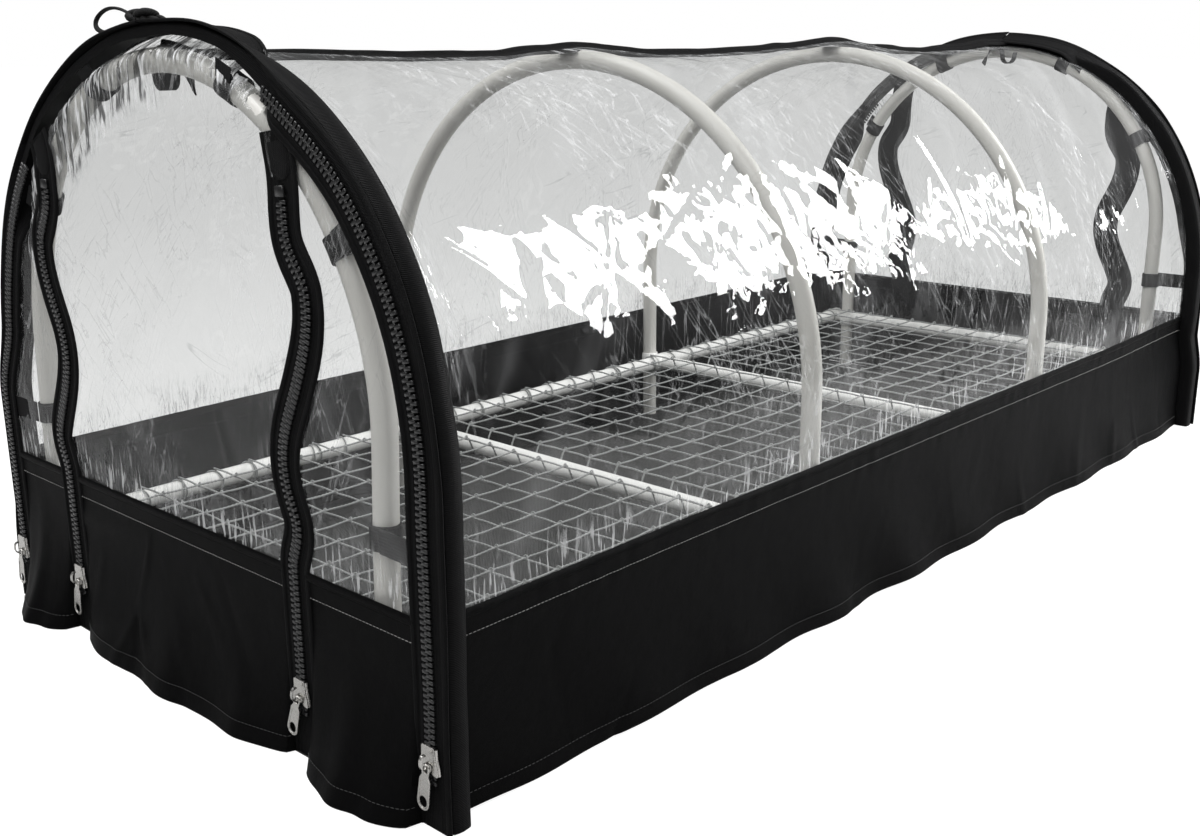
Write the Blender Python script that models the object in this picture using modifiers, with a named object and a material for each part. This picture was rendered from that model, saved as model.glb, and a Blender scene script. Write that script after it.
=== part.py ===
"""Seed propagator: a white tube frame with four hoops and a mesh bed, under a clear
zipped tunnel cover with a black fabric skirt.

Units are metres, +Z is up, and the origin is on the floor under the middle of the bed.
The long side runs along X. The front end faces -X, the right side faces -Y.
The rear end is the front end turned half a turn about Z.
"""
import math

import bmesh
import bpy
from mathutils import Vector

# Driving dimensions of the cover
LENGTH = 1.490            # front face to rear face
WIDTH = 0.650             # over the side walls
HEIGHT = 0.560            # floor to the ridge of the film
SKIRT_HEIGHT = 0.167      # floor to the seam between skirt and film
SHEET = 0.0015            # film and skirt fabric
GAP = 0.0003              # clearance between pieces that touch
FLOOR_GAP = 0.0010        # skirt and zip ends above the floor
WELD_DISTANCE = 0.00002   # corners closer than this are one corner

# Driving dimensions of the frame
TUBE_RADIUS = 0.010
TUBE_SIDES = 10
FRAME_LEVEL = 0.088       # floor to the axis of the base tubes
MID_HOOP_X = 0.245        # middle hoops, from the centre
END_HOOP_HALF_WIDTH = 0.264
FITTING_WALL = 0.0022
FITTING_SIDES = 12
SLEEVE_LENGTH = 0.030
BRIDGE_SIZE = 0.012       # block that joins a leg sleeve to a rail sleeve
CLIP_MOUTH = 0.006        # leg axis to the open side of a snap clip

# Mesh bed and ground sheet
NET_CELLS_LONG = 20
NET_CELLS_WIDE = 9
NET_STRAND = 0.0035
NET_THICKNESS = 0.0025
GROUND_THICKNESS = 0.002
GROUND_MARGIN = 0.001     # ground sheet edge to the inside of the skirt

# Bindings
BINDING_PROUD = 0.020     # arch binding above the side film
BINDING_DEPTH = 0.020
RIDGE_WIDTH = 0.025
RIDGE_PROUD = 0.0015

# Zips
TAPE_WIDTH = 0.037
CHAIN_WIDTH = 0.011
CHAIN_RAISE = 0.002       # teeth in front of the tape
INNER_ZIP_Y = 0.185
ZIP_WAVE = 0.016          # slack of the inner zips, outwards from the door
ZIP_WAVE_LENGTH = 0.22
ZIP_WAVE_CREST = 0.045    # fold line down to the wave's upper crest
WAVE_RUN_IN = 0.050
WAVE_RUN_OUT = 0.050
DOOR_LEAN = 0.018         # slack of the door's lower part towards the left
LEAN_TOP = 0.120          # fold line down to where the lean begins
LEAN_RUN = 0.100
DOOR_DROP = 0.120         # ridge down to the fold line at the top of the end door
ZIP_STOP_DROP = 0.010     # inner teeth end this far under the arch
CHAIN_START = 0.040       # lowest teeth
OUTER_CHAIN_END = 62.0    # degrees above the spring line where the outer teeth end

# Slider and pull
SLIDER_Z = 0.060          # middle of the slider with the zip closed
SLIDER_LENGTH = 0.023
SLIDER_TOP_WIDTH = 0.0156
SLIDER_WIDTH = 0.021
SLIDER_PLATE = 0.0018
FLANGE_WALL = 0.0020
CROWN_RADIUS = 0.0055     # axis of the crown bar
CROWN_BAR = 0.0010
CROWN_STAND = 0.0018      # slider face to the pull's axis
PULL_LENGTH = 0.040
PULL_WIDTH = 0.0135
PULL_NECK_WIDTH = 0.0090
PULL_THICKNESS = 0.0016
PULL_RIM = 0.0016
PULL_EYE_WIDTH = 0.0050
PULL_EYE_LENGTH = 0.0055
PULL_HOLE_LENGTH = 0.0096
PULL_TOP_CHAMFER = 0.0027
SLIDER_NOTCH = 0.0029     # depth of the notch in the slider's lower edge

# Hoop straps on the end hoops
STRAP_WIDTH = 0.020
STRAP_WALL = 0.0018
STRAP_PLATE = 0.0020
STRAP_SEAM = 0.009        # how far the strap runs under the zip tape
STRAP_LEG_Z = 0.215
STRAP_FACETS = (3, 7)     # facets of the end hoop's arch that carry a strap

# Folds of the skirt, over a whole side, the door or a fixed strip
HEM_BAND = 0.022
HEM_RAISE = 0.0008
FOLD_DEPTH = 0.007
SKIRT_FLARE = 0.008
SIDE_FOLDS = 10
DOOR_FOLDS = 3
STRIP_FOLDS = 1
SIDE_FOLD_SHIFT = 0.4     # folds that lean over from the floor to the hem band
DOOR_FOLD_SHIFT = 0.3
STRIP_FOLD_SHIFT = 0.2
FILM_SAG = 0.004          # film drawn in between hoops

# Tie cord at the front apex
TIE_RADIUS = 0.0014
TIE_LOOP_WIDTH = 0.058
TIE_LOOP_HEIGHT = 0.015

# Roll-up strap under the ridge at each end
TIE_STRAP_WIDTH = 0.014
TIE_STRAP_THICKNESS = 0.0014
TIE_STRAP_SPREAD = 0.012  # middle plane to each hanging end
TIE_STRAP_DROP = 0.032
TIE_STRAP_BEND = 0.006
TIE_STRAP_HOOK = 0.008    # radius of the end that curls up

# Facets
ARC_FACET = 9.0           # degrees; arcs round the same centre share their corners
BAY_STEPS = 6
SKIRT_STEPS = 36
DOOR_STEPS = 14
STRIP_STEPS = 5
FOLD_ROWS = 3
WAVE_STEPS = 12
SLOT_STEPS = 4

# Places worked out from the sizes above
HALF_LENGTH = LENGTH / 2.0
HALF_WIDTH = WIDTH / 2.0
SPRING_Z = HEIGHT - HALF_WIDTH
DOOR_TOP = HEIGHT - DOOR_DROP
INNER_RADIUS = HALF_WIDTH - SHEET
ARCH_RADIUS = HALF_WIDTH + BINDING_PROUD
TAPE_RADIUS = ARCH_RADIUS - TAPE_WIDTH
TAPE_THICKNESS = SHEET + 2.0 * GAP
TAPE_BACK_X = HALF_LENGTH - TAPE_THICKNESS
PANEL_RADIUS = TAPE_RADIUS - GAP
BINDING_OUTER_X = TAPE_BACK_X - GAP
BINDING_INNER_X = BINDING_OUTER_X - BINDING_DEPTH
SIDE_HALF_LENGTH = BINDING_INNER_X - GAP
FITTING_RADIUS = TUBE_RADIUS + GAP + FITTING_WALL
MID_HOOP_HALF_WIDTH = INNER_RADIUS - GAP - TUBE_RADIUS
END_HOOP_X = TAPE_BACK_X - GAP - FITTING_RADIUS
END_HOOP_TOP = SPRING_Z + INNER_RADIUS - GAP - TUBE_RADIUS
RAIL_Y = MID_HOOP_HALF_WIDTH - 2.0 * TUBE_RADIUS - GAP
RAIL_HALF_LENGTH = TAPE_BACK_X - GAP
LEG_BOTTOM = GROUND_THICKNESS + GAP
NET_BOTTOM = FRAME_LEVEL + FITTING_RADIUS + GAP
FILM_BOTTOM = SKIRT_HEIGHT + GAP
CHAIN_FRONT_X = HALF_LENGTH + CHAIN_RAISE
SLIDER_BACK_X = CHAIN_FRONT_X + GAP
SLIDER_FRONT_X = SLIDER_BACK_X + SLIDER_PLATE
PULL_AXIS_X = SLIDER_FRONT_X + CROWN_STAND
OUTER_ZIP_Y = ARCH_RADIUS - TAPE_WIDTH / 2.0

# Colours read from the photograph: colour, roughness, metallic, alpha
WHITE_TUBE = ((0.80, 0.79, 0.76, 1.0), 0.35, 0.0)
CLEAR_FILM = ((0.86, 0.88, 0.88, 0.30), 0.08, 0.0)
BLACK_FABRIC = ((0.012, 0.012, 0.013, 1.0), 0.75, 0.0)
BLACK_TAPE = ((0.020, 0.020, 0.021, 1.0), 0.65, 0.0)
NICKEL = ((0.45, 0.44, 0.42, 1.0), 0.30, 1.0)
GREY_STRAND = ((0.36, 0.37, 0.36, 1.0), 0.60, 0.0)
GROUND_BLACK = ((0.045, 0.045, 0.045, 1.0), 0.85, 0.0)


def clear_scene():
    """Remove whatever the scene holds."""
    for obj in list(bpy.data.objects):
        bpy.data.objects.remove(obj, do_unlink=True)


def make_collection(name):
    """Make a collection and link it to the scene."""
    collection = bpy.data.collections.new(name)
    bpy.context.scene.collection.children.link(collection)
    return collection


clear_scene()
PARTS = make_collection("seed_propagator")
CUTTERS = make_collection("cutters")


def surface(name, look):
    """A Principled material with the piece's colour, roughness and metallic value."""
    colour, roughness, metallic = look
    material = bpy.data.materials.new(name)
    material.use_nodes = True
    shader = material.node_tree.nodes["Principled BSDF"]
    shader.inputs["Base Color"].default_value = (colour[0], colour[1], colour[2], 1.0)
    shader.inputs["Roughness"].default_value = roughness
    shader.inputs["Metallic"].default_value = metallic
    shader.inputs["Alpha"].default_value = colour[3]
    return material


def add_object(name, data, look=None, parent=None, collection=PARTS):
    """Link an object for the data, with its own material."""
    obj = bpy.data.objects.new(name, data)
    collection.objects.link(obj)
    if look is not None:
        data.materials.clear()
        data.materials.append(surface(name, look))
    if parent is not None:
        obj.parent = parent
    return obj


def add_empty(name, location=(0.0, 0.0, 0.0), turn=0.0, parent=None):
    """An empty that places the pieces parented to it."""
    empty = bpy.data.objects.new(name, None)
    PARTS.objects.link(empty)
    empty.location = location
    empty.rotation_euler = (0.0, 0.0, turn)
    if parent is not None:
        empty.parent = parent
    return empty


def smoothstep(share):
    """Ease from 0 to 1."""
    share = min(1.0, max(0.0, share))
    return share * share * (3.0 - 2.0 * share)


def finish_mesh(bm, name):
    """Write a bmesh to new mesh data."""
    mesh = bpy.data.meshes.new(name)
    bm.to_mesh(mesh)
    bm.free()
    return mesh


def box_mesh(name, low, high):
    """A box between two opposite corners."""
    bm = bmesh.new()
    bmesh.ops.create_cube(bm, size=1.0)
    low = Vector(low)
    high = Vector(high)
    for vert in bm.verts:
        share = vert.co + Vector((0.5, 0.5, 0.5))
        vert.co = [low[k] + share[k] * (high[k] - low[k]) for k in range(3)]
    return finish_mesh(bm, name)


def cylinder_mesh(name, radius, length, sides, around=False):
    """A cylinder along Z. With around set, its flats lie at the radius, not its corners."""
    if around:
        radius = radius / math.cos(math.pi / sides)
    bm = bmesh.new()
    bmesh.ops.create_cone(bm, cap_ends=True, segments=sides, radius1=radius,
                          radius2=radius, depth=length)
    return finish_mesh(bm, name)


def smooth(obj, angle=40.0):
    """Shade a round mesh smooth, with sharp edges kept."""
    obj.data.shade_smooth()
    obj.data.set_sharp_from_angle(angle=math.radians(angle))


def hide_cutter(obj):
    """Mark a cutter so that it isn't built or rendered."""
    obj.hide_render = True
    obj.display_type = "WIRE"
    for old in list(obj.users_collection):
        old.objects.unlink(obj)
    CUTTERS.objects.link(obj)


def cut(obj, tool, operation):
    """Boolean modifier on obj with another object, which becomes a cutter."""
    modifier = obj.modifiers.new(operation.lower(), "BOOLEAN")
    modifier.operation = operation
    modifier.solver = "EXACT"
    modifier.object = tool
    hide_cutter(tool)


def weld(obj):
    """Join the corners that a Boolean left side by side."""
    modifier = obj.modifiers.new("weld", "WELD")
    modifier.merge_threshold = WELD_DISTANCE


def tool_object(name, mesh, location=(0.0, 0.0, 0.0), rotation=(0.0, 0.0, 0.0), parent=None):
    """An object used only in a Boolean."""
    obj = add_object(name, mesh, None, parent, CUTTERS)
    obj.location = location
    obj.rotation_euler = rotation
    return obj


def facet_point(radius, degrees):
    """Point (y, z) at an angle on the faceted arch of that radius."""
    middle = (math.floor(degrees / ARC_FACET) + 0.5) * ARC_FACET
    reach = math.cos(math.radians(ARC_FACET / 2.0)) / math.cos(math.radians(degrees - middle))
    angle = math.radians(degrees)
    return radius * reach * math.cos(angle), SPRING_Z + radius * reach * math.sin(angle)


def arc_points(radius, start, end):
    """Corners of the faceted arch between two angles in degrees, from +Y towards +Z."""
    low = min(start, end)
    high = max(start, end)
    angles = [low]
    k = math.floor(low / ARC_FACET) + 1
    while k * ARC_FACET < high - 0.01:
        angles.append(k * ARC_FACET)
        k += 1
    angles.append(high)
    if start > end:
        angles.reverse()
    return [facet_point(radius, degrees) for degrees in angles]


def tube(name, points, radius, look, parent=None, cyclic=False, resolution=3):
    """A round tube along points, with closed ends."""
    data = bpy.data.curves.new(name, "CURVE")
    data.dimensions = "3D"
    data.bevel_depth = radius
    data.bevel_resolution = resolution
    data.use_fill_caps = not cyclic
    spline = data.splines.new("POLY")
    spline.points.add(len(points) - 1)
    for point, place in zip(spline.points, points):
        point.co = (place[0], place[1], place[2], 1.0)
    spline.use_cyclic_u = cyclic
    return add_object(name, data, look, parent)


def end_plate(name, outline, outer_x, thickness, look=None, parent=None, holes=()):
    """A flat outline (y, z) in the end wall, from outer_x inwards by its thickness."""
    data = bpy.data.curves.new(name, "CURVE")
    data.dimensions = "2D"
    data.fill_mode = "BOTH"
    data.extrude = thickness / 2.0
    for loop in (outline,) + tuple(holes):
        spline = data.splines.new("POLY")
        spline.points.add(len(loop) - 1)
        for point, place in zip(spline.points, loop):
            point.co = (place[0], place[1], 0.0, 1.0)
        spline.use_cyclic_u = True
    obj = add_object(name, data, look, parent)
    obj.location = (-outer_x + thickness / 2.0, 0.0, 0.0)
    obj.rotation_euler = (math.pi / 2.0, 0.0, math.pi / 2.0)
    return obj


def to_mesh(curve):
    """Replace a curve object by the mesh it makes, with its caps welded on."""
    bpy.context.view_layer.update()
    depsgraph = bpy.context.evaluated_depsgraph_get()
    mesh = bpy.data.meshes.new_from_object(curve.evaluated_get(depsgraph))
    bm = bmesh.new()
    bm.from_mesh(mesh)
    bmesh.ops.remove_doubles(bm, verts=bm.verts, dist=WELD_DISTANCE)
    bmesh.ops.recalc_face_normals(bm, faces=bm.faces)
    bm.to_mesh(mesh)
    bm.free()
    name = curve.name
    parent = curve.parent
    place = curve.matrix_world.copy()
    materials = [slot.material for slot in curve.material_slots]
    bpy.data.objects.remove(curve, do_unlink=True)
    mesh.materials.clear()
    for material in materials:
        mesh.materials.append(material)
    obj = add_object(name, mesh)
    obj.parent = parent
    obj.matrix_world = place
    return obj


def cloth(name, columns, rows, place, outward, look, parent=None):
    """A sheet of columns by rows quads whose corner (i, j) lies at place(i, j).

    The sheet's outer face lies there, and its thickness goes inwards.
    """
    bm = bmesh.new()
    bmesh.ops.create_grid(bm, x_segments=columns, y_segments=rows, size=0.5)
    for vert in bm.verts:
        i = round((vert.co.x + 0.5) * columns)
        j = round((vert.co.y + 0.5) * rows)
        vert.co = place(i, j)
    bm.normal_update()
    bm.faces.ensure_lookup_table()
    if bm.faces[0].normal.dot(Vector(outward)) < 0.0:
        bmesh.ops.reverse_faces(bm, faces=bm.faces)
    obj = add_object(name, finish_mesh(bm, name), look, parent)
    obj.data.shade_smooth()
    solidify = obj.modifiers.new("thickness", "SOLIDIFY")
    solidify.thickness = SHEET
    solidify.offset = -1.0
    return obj


def zip_wave(z):
    """Slack of the inner zips at a height, outwards from the door."""
    below = DOOR_TOP - z
    fade = smoothstep((z - SKIRT_HEIGHT) / WAVE_RUN_IN) * smoothstep(below / WAVE_RUN_OUT)
    return ZIP_WAVE * fade * math.cos(2.0 * math.pi * (below - ZIP_WAVE_CREST) / ZIP_WAVE_LENGTH)


def door_lean(z):
    """How far the slack door lies to the left of the middle at a height."""
    start = DOOR_TOP - LEAN_TOP
    run = min(LEAN_RUN, start - SKIRT_HEIGHT)
    return DOOR_LEAN * smoothstep((start - z) / run)


def inner_zip_y(z, side):
    """Centre line of an inner zip: side is 1 for left (+Y) and -1 for right."""
    return side * (INNER_ZIP_Y + zip_wave(z)) + door_lean(z)


def arch_z(y, radius):
    """Height of the faceted arch of that radius over y."""
    corners = arc_points(radius, 0.0, 180.0)
    for (y0, z0), (y1, z1) in zip(corners, corners[1:]):
        if y1 <= y <= y0:
            return z0 + (z1 - z0) * (y0 - y) / (y0 - y1)
    return SPRING_Z


def arch_degrees(y, radius):
    """Angle at which the faceted arch of that radius stands over y."""
    return math.degrees(math.atan2(arch_z(y, radius) - SPRING_Z, y))


def wave_heights(low, high):
    """Heights along the wavy part of the end wall."""
    return [low + (high - low) * k / WAVE_STEPS for k in range(WAVE_STEPS + 1)]


def fold(share, row_share, folds, shift):
    """Depth of the skirt's folds at a share along it and a share up it."""
    edge = math.sin(math.pi * share) ** 0.5 if 0.0 < share < 1.0 else 0.0
    drop = (1.0 - row_share) ** 1.3
    wave = 0.5 - 0.5 * math.cos(2.0 * math.pi * (folds * share + shift * row_share))
    uneven = 0.75 + 0.25 * math.sin(5.0 * math.pi * share + 1.0)
    return edge * drop * (FOLD_DEPTH * wave * uneven + SKIRT_FLARE * (1.0 - row_share))


def skirt_row(j):
    """Height, share up the skirt and outward step of a skirt row, hem band last."""
    band_bottom = SKIRT_HEIGHT - HEM_BAND
    if j <= FOLD_ROWS:
        share = j / FOLD_ROWS
        return FLOOR_GAP + share * (band_bottom - FLOOR_GAP), share, 0.0
    if j == FOLD_ROWS + 1:
        return band_bottom + HEM_RAISE, 1.0, HEM_RAISE
    return SKIRT_HEIGHT, 1.0, HEM_RAISE


SKIRT_ROWS = FOLD_ROWS + 2


def build_hoop(name, x, half_width, top):
    """One white tube hoop: two straight legs and a half circle."""
    spring = top - half_width
    steps = round(180.0 / ARC_FACET)
    points = [(x, half_width, LEG_BOTTOM)]
    for k in range(steps + 1):
        angle = math.pi * k / steps
        points.append((x, half_width * math.cos(angle), spring + half_width * math.sin(angle)))
    points.append((x, -half_width, LEG_BOTTOM))
    tube(name, points, TUBE_RADIUS, WHITE_TUBE)


def build_rail(name, side):
    """One side rail of the base frame."""
    points = [(-RAIL_HALF_LENGTH, side * RAIL_Y, FRAME_LEVEL),
              (RAIL_HALF_LENGTH, side * RAIL_Y, FRAME_LEVEL)]
    tube(name, points, TUBE_RADIUS, WHITE_TUBE)


def build_crossbar(name, x, leg_y, open_clip):
    """A crossbar with a moulded fitting at each end: a leg sleeve and a rail sleeve.

    On the middle hoops the leg sleeve is a snap clip that is open towards the cover.
    """
    reach = min(leg_y, RAIL_Y)
    bar = add_object(name, cylinder_mesh(name, TUBE_RADIUS, 2.0 * reach, TUBE_SIDES), WHITE_TUBE)
    bar.location = (x, 0.0, FRAME_LEVEL)
    bar.rotation_euler = (math.pi / 2.0, 0.0, 0.0)
    bore = TUBE_RADIUS + GAP
    for side in (1.0, -1.0):
        low_y = min(leg_y, RAIL_Y)
        high_y = max(leg_y, RAIL_Y)
        half = BRIDGE_SIZE / 2.0
        bridge = box_mesh(name + "_bridge", (-half, low_y, -half), (half, high_y, half))
        bridge_obj = tool_object(name + "_bridge", bridge, (x, 0.0, FRAME_LEVEL),
                                 (0.0, 0.0, 0.0 if side > 0.0 else math.pi))
        cut(bar, bridge_obj, "UNION")
        sleeve_length = min(SLEEVE_LENGTH, 2.0 * FITTING_RADIUS) if not open_clip else SLEEVE_LENGTH
        rail_mesh = cylinder_mesh(name + "_rail_sleeve", FITTING_RADIUS, sleeve_length, FITTING_SIDES)
        rail_sleeve = tool_object(name + "_rail_sleeve", rail_mesh,
                                  (x, side * RAIL_Y, FRAME_LEVEL), (0.0, math.pi / 2.0, 0.0))
        cut(bar, rail_sleeve, "UNION")
        leg_mesh = cylinder_mesh(name + "_leg_sleeve", FITTING_RADIUS, 2.0 * FITTING_RADIUS,
                                 FITTING_SIDES)
        leg_sleeve = tool_object(name + "_leg_sleeve", leg_mesh, (x, side * leg_y, FRAME_LEVEL))
        cut(bar, leg_sleeve, "UNION")
    for side in (1.0, -1.0):
        rail_bore = cylinder_mesh(name + "_rail_bore", bore, 3.0 * SLEEVE_LENGTH, FITTING_SIDES, True)
        cut(bar, tool_object(name + "_rail_bore", rail_bore, (x, side * RAIL_Y, FRAME_LEVEL),
                             (0.0, math.pi / 2.0, 0.0)), "DIFFERENCE")
        leg_bore = cylinder_mesh(name + "_leg_bore", bore, 3.0 * SLEEVE_LENGTH, FITTING_SIDES, True)
        cut(bar, tool_object(name + "_leg_bore", leg_bore, (x, side * leg_y, FRAME_LEVEL)),
            "DIFFERENCE")
        if open_clip:
            mouth = box_mesh(name + "_mouth",
                             (-2.0 * FITTING_RADIUS, leg_y + CLIP_MOUTH, -2.0 * FITTING_RADIUS),
                             (2.0 * FITTING_RADIUS, leg_y + 3.0 * FITTING_RADIUS,
                              2.0 * FITTING_RADIUS))
            cut(bar, tool_object(name + "_mouth", mouth, (x, 0.0, FRAME_LEVEL),
                                 (0.0, 0.0, 0.0 if side > 0.0 else math.pi)), "DIFFERENCE")
    smooth(bar)


def build_net():
    """The mesh bed: one flat lattice over the base frame, its strands fused where they cross."""
    half_long = END_HOOP_X - TUBE_RADIUS - GAP
    half_wide = MID_HOOP_HALF_WIDTH - TUBE_RADIUS - GAP
    pitch_long = (2.0 * half_long - NET_STRAND) / NET_CELLS_LONG
    pitch_wide = (2.0 * half_wide - NET_STRAND) / NET_CELLS_WIDE
    outline = [(-half_long, -half_wide), (half_long, -half_wide),
               (half_long, half_wide), (-half_long, half_wide)]
    data = bpy.data.curves.new("mesh_net", "CURVE")
    data.dimensions = "2D"
    data.fill_mode = "BOTH"
    data.extrude = NET_THICKNESS / 2.0
    loops = [outline]
    for i in range(NET_CELLS_LONG):
        for j in range(NET_CELLS_WIDE):
            low_x = -half_long + NET_STRAND + i * pitch_long
            low_y = -half_wide + NET_STRAND + j * pitch_wide
            high_x = low_x + pitch_long - NET_STRAND
            high_y = low_y + pitch_wide - NET_STRAND
            loops.append([(low_x, low_y), (high_x, low_y), (high_x, high_y), (low_x, high_y)])
    for loop in loops:
        spline = data.splines.new("POLY")
        spline.points.add(len(loop) - 1)
        for point, place in zip(spline.points, loop):
            point.co = (place[0], place[1], 0.0, 1.0)
        spline.use_cyclic_u = True
    net = add_object("mesh_net", data, GREY_STRAND)
    net.location = (0.0, 0.0, NET_BOTTOM + NET_THICKNESS / 2.0)


def build_ground_sheet():
    """The woven sheet under the bed, on which the hoop legs stand."""
    half_x = HALF_LENGTH - SHEET - GROUND_MARGIN
    half_y = HALF_WIDTH - SHEET - GROUND_MARGIN
    mesh = box_mesh("ground_sheet", (-half_x, -half_y, 0.0), (half_x, half_y, GROUND_THICKNESS))
    add_object("ground_sheet", mesh, GROUND_BLACK)


def side_section():
    """Corners of the side film's section: distance from the middle plane, and height."""
    edge = RIDGE_WIDTH / 2.0 + GAP
    wall = [(HALF_WIDTH, FILM_BOTTOM), (HALF_WIDTH, (FILM_BOTTOM + SPRING_Z) / 2.0)]
    return wall + arc_points(HALF_WIDTH, 0.0, arch_degrees(edge, HALF_WIDTH))


def film_sag(x, share):
    """How far the film is drawn in between two hoops, at a share up its section."""
    stops = (-SIDE_HALF_LENGTH, -MID_HOOP_X, MID_HOOP_X, SIDE_HALF_LENGTH)
    for low, high in zip(stops, stops[1:]):
        if low <= x <= high:
            along = math.sin(math.pi * (x - low) / (high - low)) ** 2
            return FILM_SAG * along * math.sin(math.pi * share)
    return 0.0


def build_side(name, side):
    """One long side: the film from the skirt to the ridge, and the skirt under it.

    Both hang from the ridge seam, and their parent empty lies on that axis.
    """
    section = side_section()
    axis_y = side * section[-1][0]
    axis_z = section[-1][1]
    hinge = add_empty("curtain_axis_" + name, (0.0, axis_y, axis_z))
    rows = len(section) - 1
    stops = (-SIDE_HALF_LENGTH, -MID_HOOP_X, MID_HOOP_X, SIDE_HALF_LENGTH, SIDE_HALF_LENGTH)
    columns = 3 * BAY_STEPS

    def film_place(i, j):
        bay = i // BAY_STEPS
        x = stops[bay] + (stops[bay + 1] - stops[bay]) * (i % BAY_STEPS) / BAY_STEPS
        y, z = section[j]
        shrink = film_sag(x, j / rows)
        reach = math.hypot(y, max(0.0, z - SPRING_Z))
        y -= shrink * y / reach
        z -= shrink * max(0.0, z - SPRING_Z) / reach
        return Vector((x, side * y - axis_y, z - axis_z))

    def skirt_place(i, j):
        share = i / SKIRT_STEPS
        x = -SIDE_HALF_LENGTH + 2.0 * SIDE_HALF_LENGTH * share
        z, row_share, step = skirt_row(j)
        y = HALF_WIDTH + step + fold(share, row_share, SIDE_FOLDS, SIDE_FOLD_SHIFT)
        return Vector((x, side * y - axis_y, z - axis_z))

    outward = (0.0, side, 0.0)
    cloth("side_film_" + name, columns, rows, film_place, outward, CLEAR_FILM, hinge)
    cloth("side_skirt_" + name, SKIRT_STEPS, SKIRT_ROWS, skirt_place, outward, BLACK_FABRIC, hinge)


def build_ridge():
    """The black binding along the ridge, between the two side films."""
    bottom = SPRING_Z + INNER_RADIUS
    top = HEIGHT + RIDGE_PROUD
    half = RIDGE_WIDTH / 2.0
    mesh = box_mesh("ridge_binding", (-SIDE_HALF_LENGTH, -half, bottom),
                    (SIDE_HALF_LENGTH, half, top))
    add_object("ridge_binding", mesh, BLACK_FABRIC)


def build_arch_binding(name, end):
    """The black edge binding round an end, from floor to floor."""
    outer = [(ARCH_RADIUS, FLOOR_GAP)] + arc_points(ARCH_RADIUS, 0.0, 180.0)
    outer.append((-ARCH_RADIUS, FLOOR_GAP))
    inner = [(-INNER_RADIUS, FLOOR_GAP)] + arc_points(INNER_RADIUS, 180.0, 0.0)
    inner.append((INNER_RADIUS, FLOOR_GAP))
    end_plate("arch_binding_" + name, outer + inner, BINDING_OUTER_X, BINDING_DEPTH,
              BLACK_FABRIC, end)


def arch_band(side, middle, half_width, low, end_angle):
    """Outline of a band that runs up the wall and on round the arch."""
    outer = middle + half_width
    inner = middle - half_width
    up = [(side * outer, low)]
    up += [(side * y, z) for y, z in arc_points(outer, 0.0, end_angle)]
    down = [(side * y, z) for y, z in arc_points(inner, end_angle, 0.0)]
    down.append((side * inner, low))
    return up + down


def add_strap(zip_obj, name, place, tangent_angle, side, end):
    """A hoop strap: a ring round the hoop and a flat tail sewn under the zip tape."""
    y, z = place
    reach = math.hypot(y, max(0.0, z - SPRING_Z))
    rise = math.atan2(max(0.0, z - SPRING_Z), y)
    far = max(TAPE_RADIUS + STRAP_SEAM, reach + STRAP_SEAM)
    far = min(far, INNER_RADIUS - 2.0 * GAP)
    near = reach - TUBE_RADIUS / 2.0
    half = STRAP_WIDTH / 2.0 - GAP
    plate_out = TAPE_BACK_X + GAP
    tail = box_mesh(name + "_tail", (-plate_out, near, -half),
                    (-plate_out + STRAP_PLATE, far, half))
    base_z = z if z < SPRING_Z else SPRING_Z
    angle = rise if side > 0.0 else math.pi - rise
    tail_obj = tool_object(name + "_tail", tail, (0.0, 0.0, base_z), (angle, 0.0, 0.0), end)
    cut(zip_obj, tail_obj, "UNION")
    outer = TUBE_RADIUS + GAP + STRAP_WALL
    ring = cylinder_mesh(name + "_ring", outer, STRAP_WIDTH, FITTING_SIDES, True)
    location = (-END_HOOP_X, side * y, z)
    turn = side * tangent_angle
    cut(zip_obj, tool_object(name + "_ring", ring, location, (turn, 0.0, 0.0), end), "UNION")
    return location, turn


def build_outer_zip(name, side, end):
    """A zip that runs up one edge of the end wall and round the arch to the apex.

    It is one solid: the tape, the raised row of teeth and the hoop straps sewn to it.
    """
    middle = OUTER_ZIP_Y
    apex = 90.0 - math.degrees(GAP / TAPE_RADIUS)
    tape = arch_band(side, middle, TAPE_WIDTH / 2.0, FLOOR_GAP, apex)
    obj = to_mesh(end_plate(name, tape, HALF_LENGTH, TAPE_THICKNESS, BLACK_TAPE, end))
    teeth = arch_band(side, middle, CHAIN_WIDTH / 2.0, CHAIN_START, OUTER_CHAIN_END)
    chain = to_mesh(end_plate(name + "_teeth", teeth, CHAIN_FRONT_X,
                              CHAIN_RAISE + TAPE_THICKNESS / 2.0, None, end))
    cut(obj, chain, "UNION")
    weld(obj)
    spring = END_HOOP_TOP - END_HOOP_HALF_WIDTH
    places = [((END_HOOP_HALF_WIDTH, STRAP_LEG_Z), 0.0)]
    flat = END_HOOP_HALF_WIDTH * math.cos(math.radians(ARC_FACET / 2.0))
    for facet in STRAP_FACETS:
        angle = math.radians((facet + 0.5) * ARC_FACET)
        places.append(((flat * math.cos(angle), spring + flat * math.sin(angle)), angle))
    bores = []
    for k, (place, angle) in enumerate(places):
        bores.append(add_strap(obj, "%s_strap_%d" % (name, k), place, angle, side, end))
    for k, (location, turn) in enumerate(bores):
        bore = cylinder_mesh(name + "_bore_%d" % k, TUBE_RADIUS + GAP, 2.0 * STRAP_WIDTH,
                             FITTING_SIDES, True)
        cut(obj, tool_object(name + "_bore_%d" % k, bore, location, (turn, 0.0, 0.0), end),
            "DIFFERENCE")


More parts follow.
